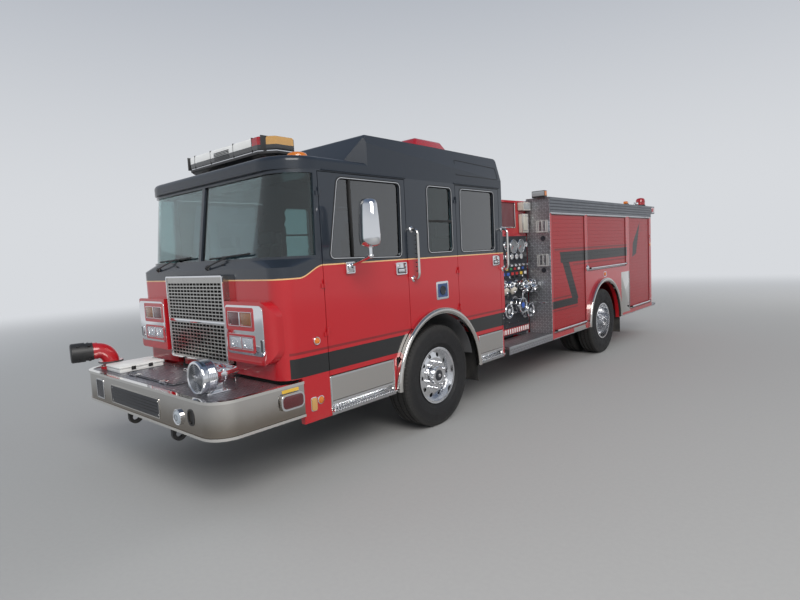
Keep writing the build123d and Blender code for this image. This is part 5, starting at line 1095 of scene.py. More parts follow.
def make_roof_panels():
    """Dark joints round the panels set in the leaning sides of the raised roof."""
    w = Workpiece("cab")
    panel = [(0, 0.42, 2.675), (0, 0.42, 2.835), (0, 1.28, 2.815), (0, 1.28, 2.675), (0, 0.42, 2.675)]
    to_station = Vector((0, -AXLE_Y, 0))
    for way in (-1, 1):
        spots = []
        for place in bent(panel, 0.02):
            start = Vector((2.0 * way, place.y, place.z)) - to_station
            hit, spot, normal, face = nodes["cab_roof"].ray_cast(start, (-way, 0, 0))
            if hit:
                spots.append(spot + normal * 0.0005 + to_station)
        w.rod(spots, 0.0035, SEAL, 8)
    w.done("roof_panel_joints")


def make_cab_step_details():
    """Edge frames on the polished step boxes, toothed lower treads with their risers, and red fillers."""
    w = Workpiece("cab")
    pitch = 0.032
    drain = [(0, 0.0), (0, 0.0065), (0.002, 0.006), (0.0022, 0.0)]
    for front, back in ((-1.5457, -0.742), (0.742, 1.2717)):
        w.framed(*on_side(CAB_SEAT, 0.0035, oblong(front, back, 0.620, 0.850)), 0.012, CHROME, 0.008)
        for z in (0.628, 0.638):
            w.block((CAB_SEAT, front + 0.016, z), (1.2120, back - 0.016, z + 0.004), SEAL, 0.0)
        w.block((1.165, front, 0.5480), (1.2440, back, 0.5640), ALLOY, 0.003)
        for n in range(int((back - front - 0.022) // pitch)):
            s = front + 0.014 + n * pitch
            w.block((1.186, s, 0.5635), (1.2400, s + 0.017, 0.5755), ALLOY, 0.002, 1)
            w.turned(drain, (1.2430, s + 0.008, 0.5560), OUT, SEAL, 12)
        w.block((1.2155, front, 0.522), (1.2185, back, 0.5600), BRUSHED, 0.001)
        w.block((1.172, front + 0.002, 0.5600), (1.176, back - 0.002, 0.6300), ALLOY, 0.001)
    for s in (-0.7395, 0.6950):
        w.block((1.1970, s, 0.5440), (1.2055, s + 0.0445, 0.8640), PLAIN_RED, 0.001)
    w.mirrored()
    w.done("cab_step_details")


# Seats: padded covers over the frames

def puffed(name, low, high, crown, groove_axis, grooves):
    """A stuffed cushion: a rounded block whose faces swell between its sewn channels and corners."""
    bm = bmesh.new()
    low, high = Vector(low), Vector(high)
    bmesh.ops.create_cube(bm, size=1.0)
    bmesh.ops.scale(bm, verts=bm.verts[:], vec=high - low)
    bmesh.ops.bevel(
        bm, geom=bm.edges[:], offset=0.022, offset_type="OFFSET", segments=3,
        profile=0.5, affect="EDGES", material=-1, clamp_overlap=True,
    )
    long_edges = [e for e in bm.edges if e.calc_length() > 0.08]
    bmesh.ops.subdivide_edges(bm, edges=long_edges, cuts=13, use_grid_fill=True)
    half = (high - low) / 2
    thin = min(range(3), key=lambda k: half[k])
    first, second = (k for k in range(3) if k != thin)
    for v in bm.verts:
        u, t = (max(0.0, 1 - (v.co[k] / half[k]) ** 2) for k in (first, second))
        swell = crown * math.sqrt(u * t) - crown * 0.75
        place = v.co[groove_axis] / half[groove_axis]
        dip = sum(math.exp(-((place - g) / 0.045) ** 2) for g in grooves) * 0.007
        v.co[thin] += math.copysign(1, v.co[thin]) * (swell - dip) * min(1.0, abs(v.co[thin]) / half[thin])
        for k, other in ((first, second), (second, first)):
            pull = max(0.0, 0.010 * (1 - (v.co[other] / half[other]) ** 2))
            v.co[k] -= math.copysign(1, v.co[k]) * pull * max(0.0, abs(v.co[k]) / half[k] - 0.8) * 2.5
        if v.co[thin] < 0:
            v.co[thin] = max(v.co[thin], -half[thin] + 0.004)
    bmesh.ops.translate(bm, verts=bm.verts[:], vec=(low + high) / 2)
    bmesh.ops.recalc_face_normals(bm, faces=bm.faces[:])
    obj = as_object(bm, name, "cab", [SEAT_CLOTH])


def make_seats():
    """Five crew seats: pans, rests and headrests in hard-wearing cloth over grey shells, with their belts."""
    shells = Workpiece("cab")
    seats = ((0.760, -1.120), (-0.760, -1.120), (0.640, 0.560), (-0.640, 0.560), (0.0, 0.560))
    for n, (x, front) in enumerate(seats, 1):
        back = front + 0.480
        for name, half, s0, s1, z0, z1, crown, groove_axis, grooves in (
            ("seat_pan", 0.238, front, back, 1.442, 1.558, 0.020, 0, (-0.55, 0.55)),
            ("seat_back", 0.226, back - 0.098, back - 0.012, 1.562, 2.030, 0.016, 2, (-0.4, 0.1, 0.55)),
            ("head_rest", 0.150, back - 0.092, back - 0.014, 2.040, 2.192, 0.012, 0, ()),
        ):
            puffed(f"{name}_{n}", (x - half, s0, z0), (x + half, s1, z1), crown, groove_axis, grooves)
        shells.block((x - 0.195, front + 0.010, 1.102), (x + 0.195, back - 0.004, 1.438), GREY_PLASTIC, 0.012)
        shells.block((x - 0.216, back - 0.014, 1.500), (x + 0.216, back - 0.002, 2.170), GREY_PLASTIC, 0.005)
        belt = [(x + 0.150, back - 0.104, 2.060), (x + 0.02, back - 0.112, 1.820)]
        shells.rod(bent([*belt, (x - 0.190, back - 0.116, 1.600)], 0.2, 4), 0.006, SEAL, 8)
    shells.done("seat_shells", "seats")


# Pump bay. Rows of (station, height, radius), and the length of what stands out.

GAUGES = (
    (1.790, 1.880, 0.062), (1.950, 1.880, 0.062),
    (2.150, 1.870, 0.095), (2.360, 1.870, 0.095), (2.500, 1.890, 0.040),
)
SMALL_GAUGES = tuple((1.700 + 0.130 * n, 1.730, 0.042) for n in range(6))
DISCHARGES = (
    (1.700, 1.340, 0.048, 0.120), (1.900, 1.340, 0.048, 0.120),
    (2.220, 1.330, 0.060, 0.150), (2.440, 1.330, 0.060, 0.150),
)
GATED_INLET = (2.150, 1.060, 0.095, 0.140)
INLETS = ((1.820, 1.010, 0.088, 0.110), GATED_INLET, (2.440, 0.960, 0.088, 0.100))


def make_gauges():
    """Bright bezels, dials with their ticks, and needles on the operator's panels."""
    w = Workpiece("chassis")
    for s, z, r in GAUGES + SMALL_GAUGES:
        ring = [(0.000, r - 0.010), (0.006, r - 0.009), (0.009, r - 0.005), (0.009, r - 0.001)]
        ring += [(0.005, r + 0.003), (-0.022, r + 0.003), (-0.022, r - 0.010)]
        w.turned(ring, (0.9055, s, z), OUT, CHROME, 36)
        ticks, dial = (9, DIAL_WHITE) if r < 0.05 else (11, DIAL_GREY)
        w.turned([(0, 0.0), (0, r - 0.007), (0.002, r - 0.007), (0.002, 0.0)], (0.8990, s, z), OUT, dial)
        top = z + r - 0.014
        for n in range(ticks):
            long = 0.10 * r if n % 2 else 0.17 * r
            tick = w.block((0.9008, s - 0.0008, top - long), (0.9016, s + 0.0008, top), SEAL, 0.0)
            w.swung(tick, (0.9, s, z), -135 + 270 * n / (ticks - 1))
        tip = z + 0.66 * r
        needle = w.block((0.9018, s - 0.0015, z - 0.2 * r), (0.9030, s + 0.0015, tip), NEEDLE_RED, 0.0)
        w.swung(needle, (0.9, s, z), 128)
        w.turned([(0, 0.0), (0, 0.006), (0.004, 0.005), (0.005, 0.0)], (0.9015, s, z), OUT, SEAL, 12)
    w.mirrored()
    w.done("panel_gauges")


def make_pump_controls():
    """Coloured grips on the valve pulls, their tags, and rows of small knobs."""
    w = Workpiece("chassis")
    tags = (GRIP_RED, WHITE_PLASTIC, GRIP_BLUE, GRIP_YELLOW, GRIP_GREEN, GRIP_RED, WHITE_PLASTIC, GRIP_BLUE)
    pull_z, knob_z = 1.610, 1.450
    collar = [(0, 0.016), (0.002, 0.020), (0.006, 0.020), (0.008, 0.010)]
    knob = [(0, 0.010), (0.012, 0.010), (0.016, 0.017), (0.026, 0.017), (0.030, 0.012), (0.031, 0.0)]
    lamp = [(0, 0.022), (0.004, 0.022), (0.010, 0.017), (0.014, 0.0)]
    rim = [(0, 0.022), (0, 0.027), (0.005, 0.027), (0.007, 0.022)]
    for n, tag in enumerate(tags):
        s = 1.660 + 0.110 * n
        w.block((0.9470, s - 0.028, pull_z - 0.015), (0.9680, s + 0.028, pull_z + 0.015), CHROME, 0.006, 3)
        w.turned(collar, (PANEL_X, s, pull_z), OUT, CHROME, 20)
        label = oblong(s - 0.030, s + 0.030, pull_z - 0.066, pull_z - 0.034)
        w.plate(*on_side(PANEL_X, 0.003, label), tag, 0.004)
    for n in range(8):
        s = 1.66 + 0.12 * n
        label = oblong(s - 0.034, s + 0.034, 1.474, 1.512)
        w.plate(*on_side(PANEL_X, 0.003, label), tags[(n * 3 + 1) % len(tags)], 0.004)
        w.turned(knob, (PANEL_X, s, knob_z), OUT, BLACK_PLASTIC if n % 3 else CHROME, 20)
    for n, glass in enumerate((GRIP_GREEN, AMBER_LENS, RED_LENS)):
        w.turned(lamp, (PANEL_X, 1.52, 1.88 - 0.11 * n), OUT, glass, 24)
        w.turned(rim, (PANEL_X, 1.52, 1.88 - 0.11 * n), OUT, CHROME, 24)
    w.block((PANEL_X, 2.415, 1.700), (0.8960, 2.545, 1.790), BLACK_PLASTIC, 0.006)
    w.plate(*on_side(0.8955, 0.0015, oblong(2.428, 2.532, 1.722, 1.778)), SMOKED_LENS, 0.004)
    for s in (1.44, 2.00, 2.55):
        for z in (0.83, 1.20, 1.56, 1.98):
            w.stud((0.8818, s, z), OUT, 0.0085, 0.003, 0.005, 0.005, sides=12)
    w.mirrored()
    w.done("pump_controls")


def make_cap(w, s, z, r, length, gated):
    """A chromed cap with its rocker lugs, its flange and bolts on the panel, and its short chain."""
    start, end = PANEL_X + length * 0.6 - 0.002, PANEL_X + length
    deep, lip = end - start, r + 0.0145
    cap = [
        (0, 0.0), (0, r + 0.0125), (0.004, lip), (0.012, lip), (0.014, r + 0.0130), (0.018, lip),
        (deep + 0.006, lip), (deep + 0.012, r + 0.009), (deep + 0.012, r - 0.002),
        (deep + 0.001, r - 0.008), (deep + 0.001, 0.0),
    ]
    dish = [(0, 0.0), (0, r - 0.008), (0.002, r - 0.009), (0.003, 0.0)]
    flange = [(0, r + 0.002), (0, r + 0.028), (0.006, r + 0.028), (0.015, r + 0.022), (0.0155, r + 0.002)]
    hub = [(0, 0.0), (0, r * 0.42), (0.006, r * 0.40), (0.010, r * 0.30), (0.011, 0.0)]
    w.turned(cap, (start, s, z), OUT, CHROME, 40)
    w.turned(dish, (end + 0.0005, s, z), OUT, PANEL_BLACK, 36)
    w.turned(flange, (PANEL_X, s, z), OUT, WORN_CHROME, 40)
    for angle, bs, bz in around(6, math.radians(30), r + 0.017, s, z):
        w.turned([(0, 0.006), (0.004, 0.006), (0.005, 0.0)], (0.8965, bs, bz), OUT, STAINLESS, 6)
    for s0 in (s - r - 0.032, s + r):
        w.block((start + 0.010, s0, z - 0.012), (end - 0.004, s0 + 0.032, z + 0.012), CHROME, 0.005, 3)
    for n in range(3):
        tip = z + r - 0.002
        arm = w.block((end + 0.002, s - 0.007, z), (end + 0.010, s + 0.007, tip), WORN_CHROME, 0.003)
        w.swung(arm, (end, s, z), 120 * n + (0 if gated else 60))
    w.turned(hub, (end + 0.003, s, z), OUT, GRIP_BLUE if gated else CHROME, 28)
    if gated:
        top = z + r + 0.090
        w.block((end - 0.016, s - 0.014, z + r - 0.004), (end + 0.008, s + 0.014, top), CHROME, 0.007, 3)
        bar = [(-0.016, 0.0), (-0.014, 0.018), (0.014, 0.018), (0.016, 0.0)]
        w.turned(bar, (end - 0.004, s, top), AFT, CHROME, 20)
    link = [(-0.005, 0.0), (-0.004, 0.003), (0.004, 0.003), (0.005, 0.0)]
    for t in (n / 8 for n in range(9)):
        x = 0.8905 + 0.010 * math.sin(math.pi * t)
        along = (r + 0.030) * (1 - t) + 0.05 * t
        drop = (r + 0.020) * 0.4 + (0.10 + r) * math.sin(math.pi * t * 0.8)
        w.turned(link, (x, s + along, z - drop), (0.3, 1 - 2 * t, 0.9), STAINLESS, 6)


def make_caps():
    """The caps of all discharges and inlets."""
    w = Workpiece("chassis")
    for row in DISCHARGES + INLETS:
        make_cap(w, *row, gated=row is GATED_INLET)
    w.mirrored()
    w.done("hose_caps")


def make_outlets():
    """The angled outlets over the intakes: chromed elbows with capped ends."""
    w = Workpiece("chassis")
    out = Vector((0.78, 0.0, -0.62)).normalized()
    for s, z, r, length in DISCHARGES:
        start = (PANEL_X + length * 0.55, s, z)
        elbow = [
            (-r - 0.010, 0.0), (-r * 0.7, r * 0.75), (0.0, r + 0.014), (r * 0.6, r + 0.006),
            (r * 0.75, r - 0.004), (r * 0.8, r - 0.004), (0.062, r - 0.004), (0.064, r + 0.004),
            (0.072, r + 0.004), (0.074, r), (0.080, r), (0.080, 0.0),
        ]
        cap = [(0.079, 0.0), (0.079, r + 0.006), (0.110, r + 0.006)]
        cap += [(0.118, r), (0.121, r * 0.6), (0.121, 0.0)]
        knob = [(0.120, 0.0), (0.120, r * 0.35), (0.134, r * 0.30), (0.136, 0.0)]
        w.turned(elbow, start, out, CHROME)
        w.turned(cap, start, out, LIGHT_BOX if r < 0.05 else CHROME)
        w.turned(knob, start, out, CHROME, 24)
    w.mirrored()
    w.done("angled_outlets")


def make_pump_lights():
    """Pale light boxes at the top of the pump bay and the toothed red strip at its foot."""
    w = Workpiece("chassis")
    w.block((PANEL_X, 1.415, 0.662), (0.8900, 2.560, 0.745), PLAIN_RED, 0.003)
    for n in range(18):
        s = 1.440 + n * 0.062
        w.block((0.8890, s, 0.672), (0.8985, s + 0.026, 0.735), WHITE_PLASTIC, 0.003)
    w.block((0.8715, 2.351, 2.361), (0.9650, 2.561, 2.479), LIGHT_BOX, 0.010, 3)
    w.block((0.8715, 2.371, 2.051), (0.9330, 2.549, 2.319), LIGHT_BOX, 0.010, 3)
    w.plate(*on_side(0.9645, 0.003, oblong(2.366, 2.546, 2.376, 2.464)), CLEAR_LENS, 0.012, 0.001)
    w.framed(*on_side(0.9325, 0.003, oblong(2.386, 2.534, 2.075, 2.295)), 0.010, CHROME, 0.012)
    w.mirrored()
    w.done("pump_bay_lights")


def make_crosslay_flaps():
    """A vinyl flap over each end of the crosslay bed, with bright hold-down bars on two of its edges."""
    wide, drop, hem, thick = 0.85, 0.35, 0.004, 0.0025
    wall, middle_s, middle_z = 0.8585, 1.865, 2.295
    for side, way in SIDES:
        bm = bmesh.new()
        bmesh.ops.create_grid(bm, x_segments=48, y_segments=20, size=0.5)
        bmesh.ops.scale(bm, verts=bm.verts[:], vec=(wide - hem, drop - hem, 1))
        for v in bm.verts:
            y, z = v.co.x, v.co.y
            slack = (1 - (2 * y / wide) ** 2) * (1 - (2 * z / drop) ** 2)
            wave = 0.0022 * math.sin(23 * y + 9 * z) + 0.0016 * math.sin(41 * y - 14 * z + 1.3)
            v.co = ((wall + slack * (0.003 + wave)) * way, middle_s + y, middle_z + z)
        bm.normal_update()
        bmesh.ops.solidify(bm, geom=bm.faces[:], thickness=thick)
        bmesh.ops.recalc_face_normals(bm, faces=bm.faces[:])
        flap = as_object(bm, f"crosslay_flap_{side}", "chassis", [FLAP_CLOTH], 40)
        w = Workpiece("chassis", way)
        w.block((0.8655, 1.445, 2.121), (0.8745, 2.285, 2.139), CHROME, 0.003)
        w.block((0.8655, 2.266, 2.121), (0.8745, 2.286, 2.469), CHROME, 0.003)
        for n in range(5):
            w.stud((0.8740, 1.50 + n * 0.185, 2.130), OUT, 0.009, 0.004, 0.006, 0.005, sides=12)
        w.done(f"flap_bars_{side}")
        if way > 0:
            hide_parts("crosslay_flaps")


# Body. Compartments are (front, back, sill).

COMPARTMENTS = ((2.650, 3.790, 0.600), (3.905, 5.640, 1.420), (5.840, 6.990, 0.600))


def make_body_details():
    """Frames and runners of the shutters, drip rails, treads on the lockers, lamps and kick panels."""
    w = Workpiece("chassis")
    bracket = [(-0.010, 0.0), (-0.010, 0.0155), (0.010, 0.0155), (0.010, 0.0)]
    for front, back, sill in COMPARTMENTS:
        opening = grown(oblong(front, back, sill, 2.290), 0.012)
        w.framed(*on_side(BODY_X - 0.001, 0.004, opening), 0.012, BRUSHED)
        for s in (front + 0.006, back - 0.006):
            w.block((1.2090, s - 0.004, sill + 0.004), (1.2290, s + 0.004, 2.286), SEAL, 0.001)
        for s in (front + 0.040, back - 0.040):
            w.turned(bracket, (1.257, s, sill + 0.038), AFT, BLACK_PLASTIC, 16)
        rail = (BODY_X - 0.001, front - 0.010, 2.290), (BODY_X + 0.012, back + 0.010, 2.3035)
        w.block(*rail, BRUSHED, 0.003)
    w.block((BODY_SEAT, 2.604, 2.3045), (1.2420, 7.118, 2.3145), CHROME)
    for front, back in ((2.606, 4.105), (4.111, 5.610), (5.616, 7.116)):
        w.block((0.606, front, 2.4995), (1.2050, back, 2.5030), PLATE, 0.0015, 1)
    w.plate(*on_side(BODY_SEAT, 0.003, oblong(5.380, 5.820, 0.570, 1.310)), STAINLESS, 0.012, 0.001)
    w.plate(*on_side(BODY_SEAT, 0.003, oblong(3.310, 3.750, 0.530, 0.590)), STAINLESS, 0.008)
    marker = [(0, 0.030), (0.006, 0.030), (0.010, 0.025), (0.016, 0.018), (0.018, 0.0)]
    bowl = [(0, 0.045), (0.012, 0.045), (0.024, 0.036), (0.030, 0.020), (0.031, 0.0)]
    w.turned(marker, (BODY_X, 4.610, 1.327), OUT, AMBER_LENS, 24)
    w.framed(*on_side(BODY_SEAT, 0.004, oblong(4.545, 4.675, 1.285, 1.369)), 0.010, CHROME, 0.020)
    w.turned(bowl, (BODY_X, 3.850, 1.470), OUT, CHROME, 28)
    w.turned([(0.018, 0.0), (0.030, 0.022), (0.0325, 0.0)], (BODY_X, 3.850, 1.470), OUT, CLEAR_LENS, 24)
    s = 7.060
    for z, glass in ((1.930, RED_LENS), (1.770, AMBER_LENS), (0.640, RED_LENS)):
        holder = oblong(s - 0.030, s + 0.030, z - 0.042, z + 0.042)
        w.plate(*on_side(BODY_SEAT, 0.003, holder), CHROME, 0.014, 0.001)
        w.plate(*on_side(1.2370, 0.008, grown(holder, -0.006)), glass, 0.010, 0.002)
    for front, back in ((2.62, 3.80), (5.30, 7.10)):
        w.block((1.2340, front, 0.5155), (1.2400, back, 0.5280), BRUSHED)
    w.mirrored()
    w.done("body_details")


def make_tail_details():
    """Lamp stacks and beacons, then markers, grab rails, reflectors and the blank plate at the tail."""
    w = Workpiece("chassis")
    for z, glass in ((1.180, CLEAR_LENS), (1.400, AMBER_LENS), (1.620, RED_LENS)):
        w.block((1.000, 7.120, z), (1.170, 7.136, z + 0.170), CHROME, 0.005)
        w.block((1.010, 7.134, z + 0.010), (1.160, 7.150, z + 0.160), glass, 0.007, 3)
    pedestal = [(-0.0305, 0.0), (-0.0305, 0.104), (-0.024, 0.104)]
    pedestal += [(-0.018, 0.096), (0.001, 0.094), (0.001, 0.0)]
    foot = [(0, 0.0), (0, 0.092), (0.028, 0.092), (0.034, 0.086), (0.034, 0.0)]
    dome = [(0.032, 0.0), (0.032, 0.084), (0.080, 0.086), (0.130, 0.084)]
    dome += [(0.158, 0.066), (0.170, 0.036), (0.175, 0.0)]
    band = [(0.084, 0.0875), (0.086, 0.0885), (0.090, 0.0885), (0.092, 0.0875)]
    for points, finish in (
        (pedestal, BLACK_PLASTIC), (foot, BLACK_PLASTIC), (dome, RED_LENS), (band, DEEP_RED_LENS)
    ):
        w.turned(points, (1.110, 6.900, 2.530), UP, finish, 36)
    w.mirrored()
    w.done("tail_lamps", "rear_lamps")

    w = Workpiece("chassis")
    for s, glass in ((6.410, CLEAR_LENS), (5.850, AMBER_LENS)):
        w.block((1.140, s - 0.050, 2.5295), (1.220, s + 0.050, 2.545), BLACK_PLASTIC, 0.004)
        w.block((1.146, s - 0.044, 2.543), (1.214, s + 0.044, 2.590), glass, 0.014, 3)
    x, face, out, low, high = 0.850, 7.1195, 7.190, 1.050, 1.950
    rail = bent([(x, face, low), (x, out, low), (x, out, high), (x, face, high)], 0.045)
    w.rod(rail, 0.016, STAINLESS, 16)
    flange = [(0, 0.016), (0, 0.034), (0.005, 0.034), (0.012, 0.026), (0.016, 0.016)]
    for z in (low, high):
        w.turned(flange, (x, face, z), AFT, CHROME, 24)
    w.plate(*on_side(BODY_SEAT, 0.005, oblong(7.180, 7.330, 2.405, 2.510)), CHROME, 0.012, 0.001)
    w.plate(*on_side(1.2385, 0.010, oblong(7.190, 7.320, 2.415, 2.500)), RED_LENS, 0.010, 0.003)
    w.plate(*on_end(7.1060, 0.006, oblong(0.596, 1.106, 2.311, 2.4995)), PLAIN_RED, 0.004)
    w.stud((x, 7.1115, 2.405), AFT, 0.020, 0.004, 0.006, 0.012, finish=CLEAR_LENS, sides=20)
    w.plate(*on_end(7.1205, 0.003, oblong(0.600, 1.220, 0.560, 0.640)), REFLECTIVE, 0.006)
    w.mirrored()
    w.plate(*on_end(7.1210, 0.004, oblong(-0.260, 0.260, 0.660, 0.780)), DIAL_WHITE, 0.010)
    w.done("tail_details")


def make_step_details():
    """Folding step frames, grips and lamps on the bulkheads, and nosings on the running boards."""
    w = Workpiece("chassis")
    for z in (1.570, 2.045):
        frame_outline = oblong(1.043, 1.220, z - 0.002, z + 0.167)
        w.framed(*on_end(2.5585, 0.005, frame_outline), 0.015, BRIGHT_CASTING, 0.012)
        for x in (1.075, 1.131, 1.188):
            w.block((x - 0.009, 2.5590, z + 0.010), (x + 0.009, 2.5640, z + 0.155), BRIGHT_CASTING)
    grip = [(0, 0.034), (0.003, 0.036), (0.005, 0.032), (0.002, 0.024), (0.0005, 0.0)]
    for z in (1.51, 1.96):
        w.turned(grip, (1.130, 2.5880, z), (0, -1, 0), PANEL_BLACK, 28)
    for low, high, finish, edge in (
        ((0.998, 2.474, 1.048), (1.192, 2.482, 1.066), CHROME, 0.002),
        ((1.008, 2.524, 2.5295), (1.202, 2.606, 2.6205), BLACK_PLASTIC, 0.006),
        ((1.014, 2.520, 2.548), (1.196, 2.530, 2.612), CLEAR_LENS, 0.004),
        ((1.198, 2.532, 2.548), (1.2045, 2.598, 2.612), AMBER_LENS, 0.003),
        ((1.030, 2.5780, 1.300), (1.080, 2.5885, 1.350), CLEAR_LENS, 0.006),
        ((1.224, 1.382, 0.583), (1.237, 2.583, 0.6145), BRUSHED, 0.002),
    ):
        w.block(low, high, finish, edge)
    w.mirrored()
    w.done("step_details")


def add_slats(w, low, high, spread):
    """Flat slats with narrow grooves between them, from the two corners of one slat's plan."""
    count = int((high - low) // 0.056)
    pitch = (high - low) / count
    for n in range(count):
        z = low + n * pitch
        w.block((*spread[0], z), (*spread[1], z + pitch - 0.0008), SHUTTER_PAINT_WITH_PAINTED_SHADE, 0.0008, 1)


def make_shutters():
    """Painted roll-up shutters, their livery darkened as painted shade: flat slats with narrow grooves, foot
    rails and bright lift bars.
    """
    w = Workpiece("chassis")
    inner, face, bar_x = 1.211, 1.2245, 1.257
    for front, back, sill in COMPARTMENTS:
        low = sill + 0.004
        add_slats(w, low, 2.284, ((inner, front + 0.0003), (face, back - 0.0003)))
        w.block((face - 0.002, front + 0.010, low), (face + 0.004, back - 0.010, low + 0.016), BRUSHED)
        z = low + 0.034
        w.rod([(bar_x, front + 0.040, z), (bar_x, back - 0.040, z)], 0.013, CHROME, 20)
        for s in (front + 0.060, (front + back) / 2, back - 0.060):
            w.block((face - 0.001, s - 0.014, z - 0.009), (bar_x, s + 0.014, z + 0.009), BLACK_PLASTIC)
    w.mirrored()
    low, high, half, bar_s = 0.948, 1.472, 0.540, 7.158
    add_slats(w, low, high, ((-half, 7.1203), (half, 7.1300)))
    z = low + 0.040
    w.rod([(-half + 0.060, bar_s, z), (half - 0.060, bar_s, z)], 0.013, CHROME, 20)
    for x in (-half + 0.080, 0.0, half - 0.080):
        w.block((x - 0.014, 7.128, z - 0.009), (x + 0.014, bar_s, z + 0.009), BLACK_PLASTIC)
    w.framed(*on_end(7.1245, 0.008, grown(oblong(-half, half, low, high), 0.012)), 0.012, BRUSHED)
    w.done("roll_up_shutters", "shutter_doors")


# Running gear

def add_nut_covers(w, x, axle, long):
    """Ten bright nut covers round a disc."""
    cover = [(0.0, 0.0), (0.0, 0.024), (0.005, 0.024), (0.008, 0.0185)]
    cover += [(long - 0.005, 0.0180), (long - 0.001, 0.014), (long, 0.0)]
    for angle, s, z in around(10, math.radians(18), 0.143, axle, HUB_Z):
        w.turned(cover, (x, s, z), OUT, CHROME, 12)


def make_wheel_details():
    """Hub caps with their dark centres, and bright nut covers round the discs."""
    cap = 1.171
    hub = (cap, 0.0, HUB_Z)
    bell = [(-0.030, 0.0), (-0.030, 0.094), (-0.004, 0.0965), (0.002, 0.090)]
    bell += [(0.004, 0.066), (0.002, 0.062), (0.002, 0.0)]
    centre = [(0, 0.0), (0, 0.060), (0.006, 0.057), (0.010, 0.040), (0.012, 0.0)]
    nut = [(0.010, 0.0), (0.010, 0.022), (0.016, 0.019), (0.018, 0.0)]
    flange = [(-0.024, 0.2985), (-0.022, 0.3005), (-0.0115, 0.3005), (-0.0105, 0.297), (-0.0125, 0.2935)]
    for side, way in SIDES:
        w = Workpiece(f"front_{side}_wheel", way)
        w.turned(bell, hub, OUT, CHROME, 48)
        w.turned(centre, hub, OUT, PANEL_BLACK, 40)
        w.turned(nut, hub, OUT, CHROME, 6)
        add_nut_covers(w, cap - 0.054, 0.0, 0.039)
        w.turned(flange, hub, OUT, ALLOY, 64)
        w.done(f"front_hub_{side}")
    disc = 0.908
    hub = (disc, REAR_AXLE, HUB_Z)
    bell = [(0.080, 0.0), (0.080, 0.0890), (0.112, 0.0895), (0.119, 0.084)]
    bell += [(0.121, 0.060), (0.118, 0.056), (0.118, 0.0)]
    centre = [(0.1175, 0.0), (0.1175, 0.052), (0.122, 0.049), (0.124, 0.030), (0.125, 0.0)]
    bolt = [(0.119, 0.0), (0.119, 0.008), (0.126, 0.008), (0.128, 0.005), (0.128, 0.0)]
    for side, way in SIDES:
        w = Workpiece(f"rear_{side}_wheels", way)
        w.turned(bell, hub, OUT, CHROME, 48)
        w.turned(centre, hub, OUT, PANEL_BLACK, 40)
        for angle, s, z in around(8, 0.0, 0.070, REAR_AXLE, HUB_Z):
            w.turned(bolt, (disc, s, z), OUT, STAINLESS, 6)
        add_nut_covers(w, disc + 0.021, REAR_AXLE, 0.041)
        w.done(f"rear_hub_{side}")


def make_arch_mouldings():
    """Half-round polished mouldings on the wheel arch trims."""
    radius, count = 0.697, 48
    for body, name, axle, x in (("cab", "front", 0.0, 1.240), ("chassis", "rear", REAR_AXLE, 1.265)):
        w = Workpiece(body)
        angles = [math.radians(-0.9 + 181.8 * n / count) for n in range(count + 1)]
        arc = [(x, axle + radius * math.cos(a), HUB_Z + radius * math.sin(a)) for a in angles]
        w.rod(arc, 0.025, STAINLESS, 14)
        w.mirrored()
        w.done(f"arch_mouldings_{name}")


def make_mud_flaps():
    """Black rubber flaps behind the front and rear wheels, with their bright clamp bars."""
    w = Workpiece("cab")
    w.block((0.900, 0.716, 0.330), (1.196, 0.724, 0.900), FLAP_RUBBER)
    w.block((0.905, 0.722, 0.840), (1.190, 0.732, 0.880), STAINLESS)
    w.mirrored()
    w.done("front_mud_flaps")
    w = Workpiece("chassis")
    w.block((0.620, 5.300, 0.240), (1.225, 5.309, 0.640), FLAP_RUBBER)
    w.block((0.620, 5.309, 0.560), (1.225, 5.316, 0.630), STAINLESS)
    w.mirrored()
    w.done("rear_mud_flaps")


# Floor, light and camera

BACKDROP = (0.68, 0.70, 0.73)


def make_stage():
    """A wide pale floor that fades into the backdrop colour."""
    bm = bmesh.new()
    bmesh.ops.create_circle(bm, cap_ends=True, segments=96, radius=90.0)
    mesh = bpy.data.meshes.new("studio_floor")
    bm.to_mesh(mesh)
    bm.free()
    floor = bpy.data.objects.new("studio_floor", mesh)
    bpy.context.scene.collection.objects.link(floor)
    floor.location.z = -0.001
    s = Surface("studio_floor", Roughness=0.85, Specular_IOR_Level=0.2)
    far = field(s.tree, "ShaderNodeVectorMath", {0: s.place}, 1, operation="LENGTH").eased(8.0, 24.0)
    s.feed(Base_Color=mixed(noise(s.place, 30.0, 4.0), (0.36, 0.36, 0.36), (0.39, 0.39, 0.385)))
    glow = field(s.tree, "ShaderNodeEmission", {"Color": BACKDROP, "Strength": 1.0})
    both = field(s.tree, "ShaderNodeMixShader", {0: far, 1: Field(s.tree, s.shader.outputs[0]), 2: glow})
    fill(s.tree, s.tree.nodes["Material Output"], {0: both})
    mesh.materials.append(s.material)


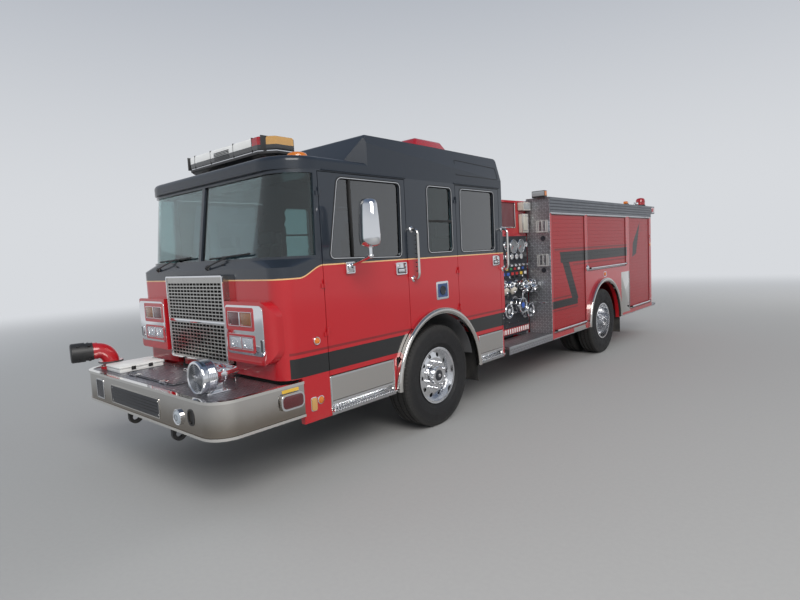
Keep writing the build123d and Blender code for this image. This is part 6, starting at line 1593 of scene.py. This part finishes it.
def make_light():
    """A plain sky for what is seen and mirrored, a soft light from all round, and three lamps."""
    world = bpy.data.worlds.new("studio")
    bpy.context.scene.world = world
    world.use_nodes = True
    tree = world.node_tree
    tree.nodes.clear()
    height = field(tree, "ShaderNodeTexCoord", output="Generated").parts()[2]
    sky = mixed(height.eased(0.05, 0.90), BACKDROP, (0.13, 0.17, 0.25))
    shown = field(tree, "ShaderNodeBackground", {"Color": sky, "Strength": 1.0})
    lit = field(tree, "ShaderNodeBackground", {"Color": (0.86, 0.92, 1.0), "Strength": 0.50})
    rays = put(tree, "ShaderNodeLightPath", {})
    kinds = [Field(tree, rays.outputs[f"Is {kind} Ray"]) for kind in ("Camera", "Glossy", "Transmission")]
    seen = reduce(lambda a, b: a.math("MAXIMUM", b), kinds)
    both = field(tree, "ShaderNodeMixShader", {0: seen, 1: lit, 2: shown})
    put(tree, "ShaderNodeOutputWorld", {0: both})
    for name, spot, size, watts, colour in (
        ("key", (11.0, -9.0, 10.0), 8.0, 1700.0, (1.0, 0.97, 0.93)),
        ("fill", (-12.0, -7.0, 8.0), 9.0, 500.0, (0.92, 0.96, 1.0)),
        ("back", (4.0, 14.0, 9.0), 8.0, 700.0, (1.0, 0.98, 0.95)),
    ):
        data = bpy.data.lights.new(name, "AREA")
        data.shape, data.size, data.energy, data.color = "SQUARE", size, watts, colour
        lamp = bpy.data.objects.new(name, data)
        bpy.context.scene.collection.objects.link(lamp)
        lamp.location = spot
        lamp.visible_glossy = name == "key"
        lamp.rotation_mode = "QUATERNION"
        lamp.rotation_quaternion = (Vector((0, 0, 1.2)) - Vector(spot)).to_track_quat("-Z", "Y")


def make_camera():
    """The photograph's place, turn and field of view."""
    yaw, pitch, roll = (math.radians(a) for a in (41.5218, -4.9913, -3.0177))
    forward = Vector((-math.sin(yaw) * math.cos(pitch), math.cos(yaw) * math.cos(pitch), math.sin(pitch)))
    level = Vector((math.cos(yaw), math.sin(yaw), 0))
    up = level.cross(forward)
    right = math.cos(roll) * level + math.sin(roll) * up
    top = math.cos(roll) * up - math.sin(roll) * level
    data = bpy.data.cameras.new("photo_view")
    picture_width, focal_pixels, data.sensor_width = 800, 537.05, 36
    data.lens = focal_pixels / picture_width * data.sensor_width
    camera = bpy.data.objects.new("photo_view", data)
    bpy.context.scene.collection.objects.link(camera)
    turn = Matrix((right, top, -forward)).transposed().to_4x4()
    camera.matrix_world = Matrix.Translation((4.6296, AXLE_Y - 4.4691, 1.8598)) @ turn
    bpy.context.scene.camera = camera


for make in (
    make_siren, make_lightbar, make_beacons, make_headlamps, make_grille_back, make_bumper_fittings,
    make_deck_fittings, make_outlet_details, make_window_trims, make_wipers, make_mirror_details,
    make_door_latches, make_cab_side_details, make_roof_panels, make_seats, make_gauges,
    make_pump_controls, make_caps, make_pump_lights, make_crosslay_flaps, make_body_details,
    make_tail_details, make_step_details, make_mirror_heads, make_shutters, make_wheel_details,
    make_cab_step_details, make_arch_mouldings, make_mud_flaps, make_outlets,
    make_stage, make_light, make_camera,
):
    make()
bpy.context.scene.view_settings.view_transform = "Standard"
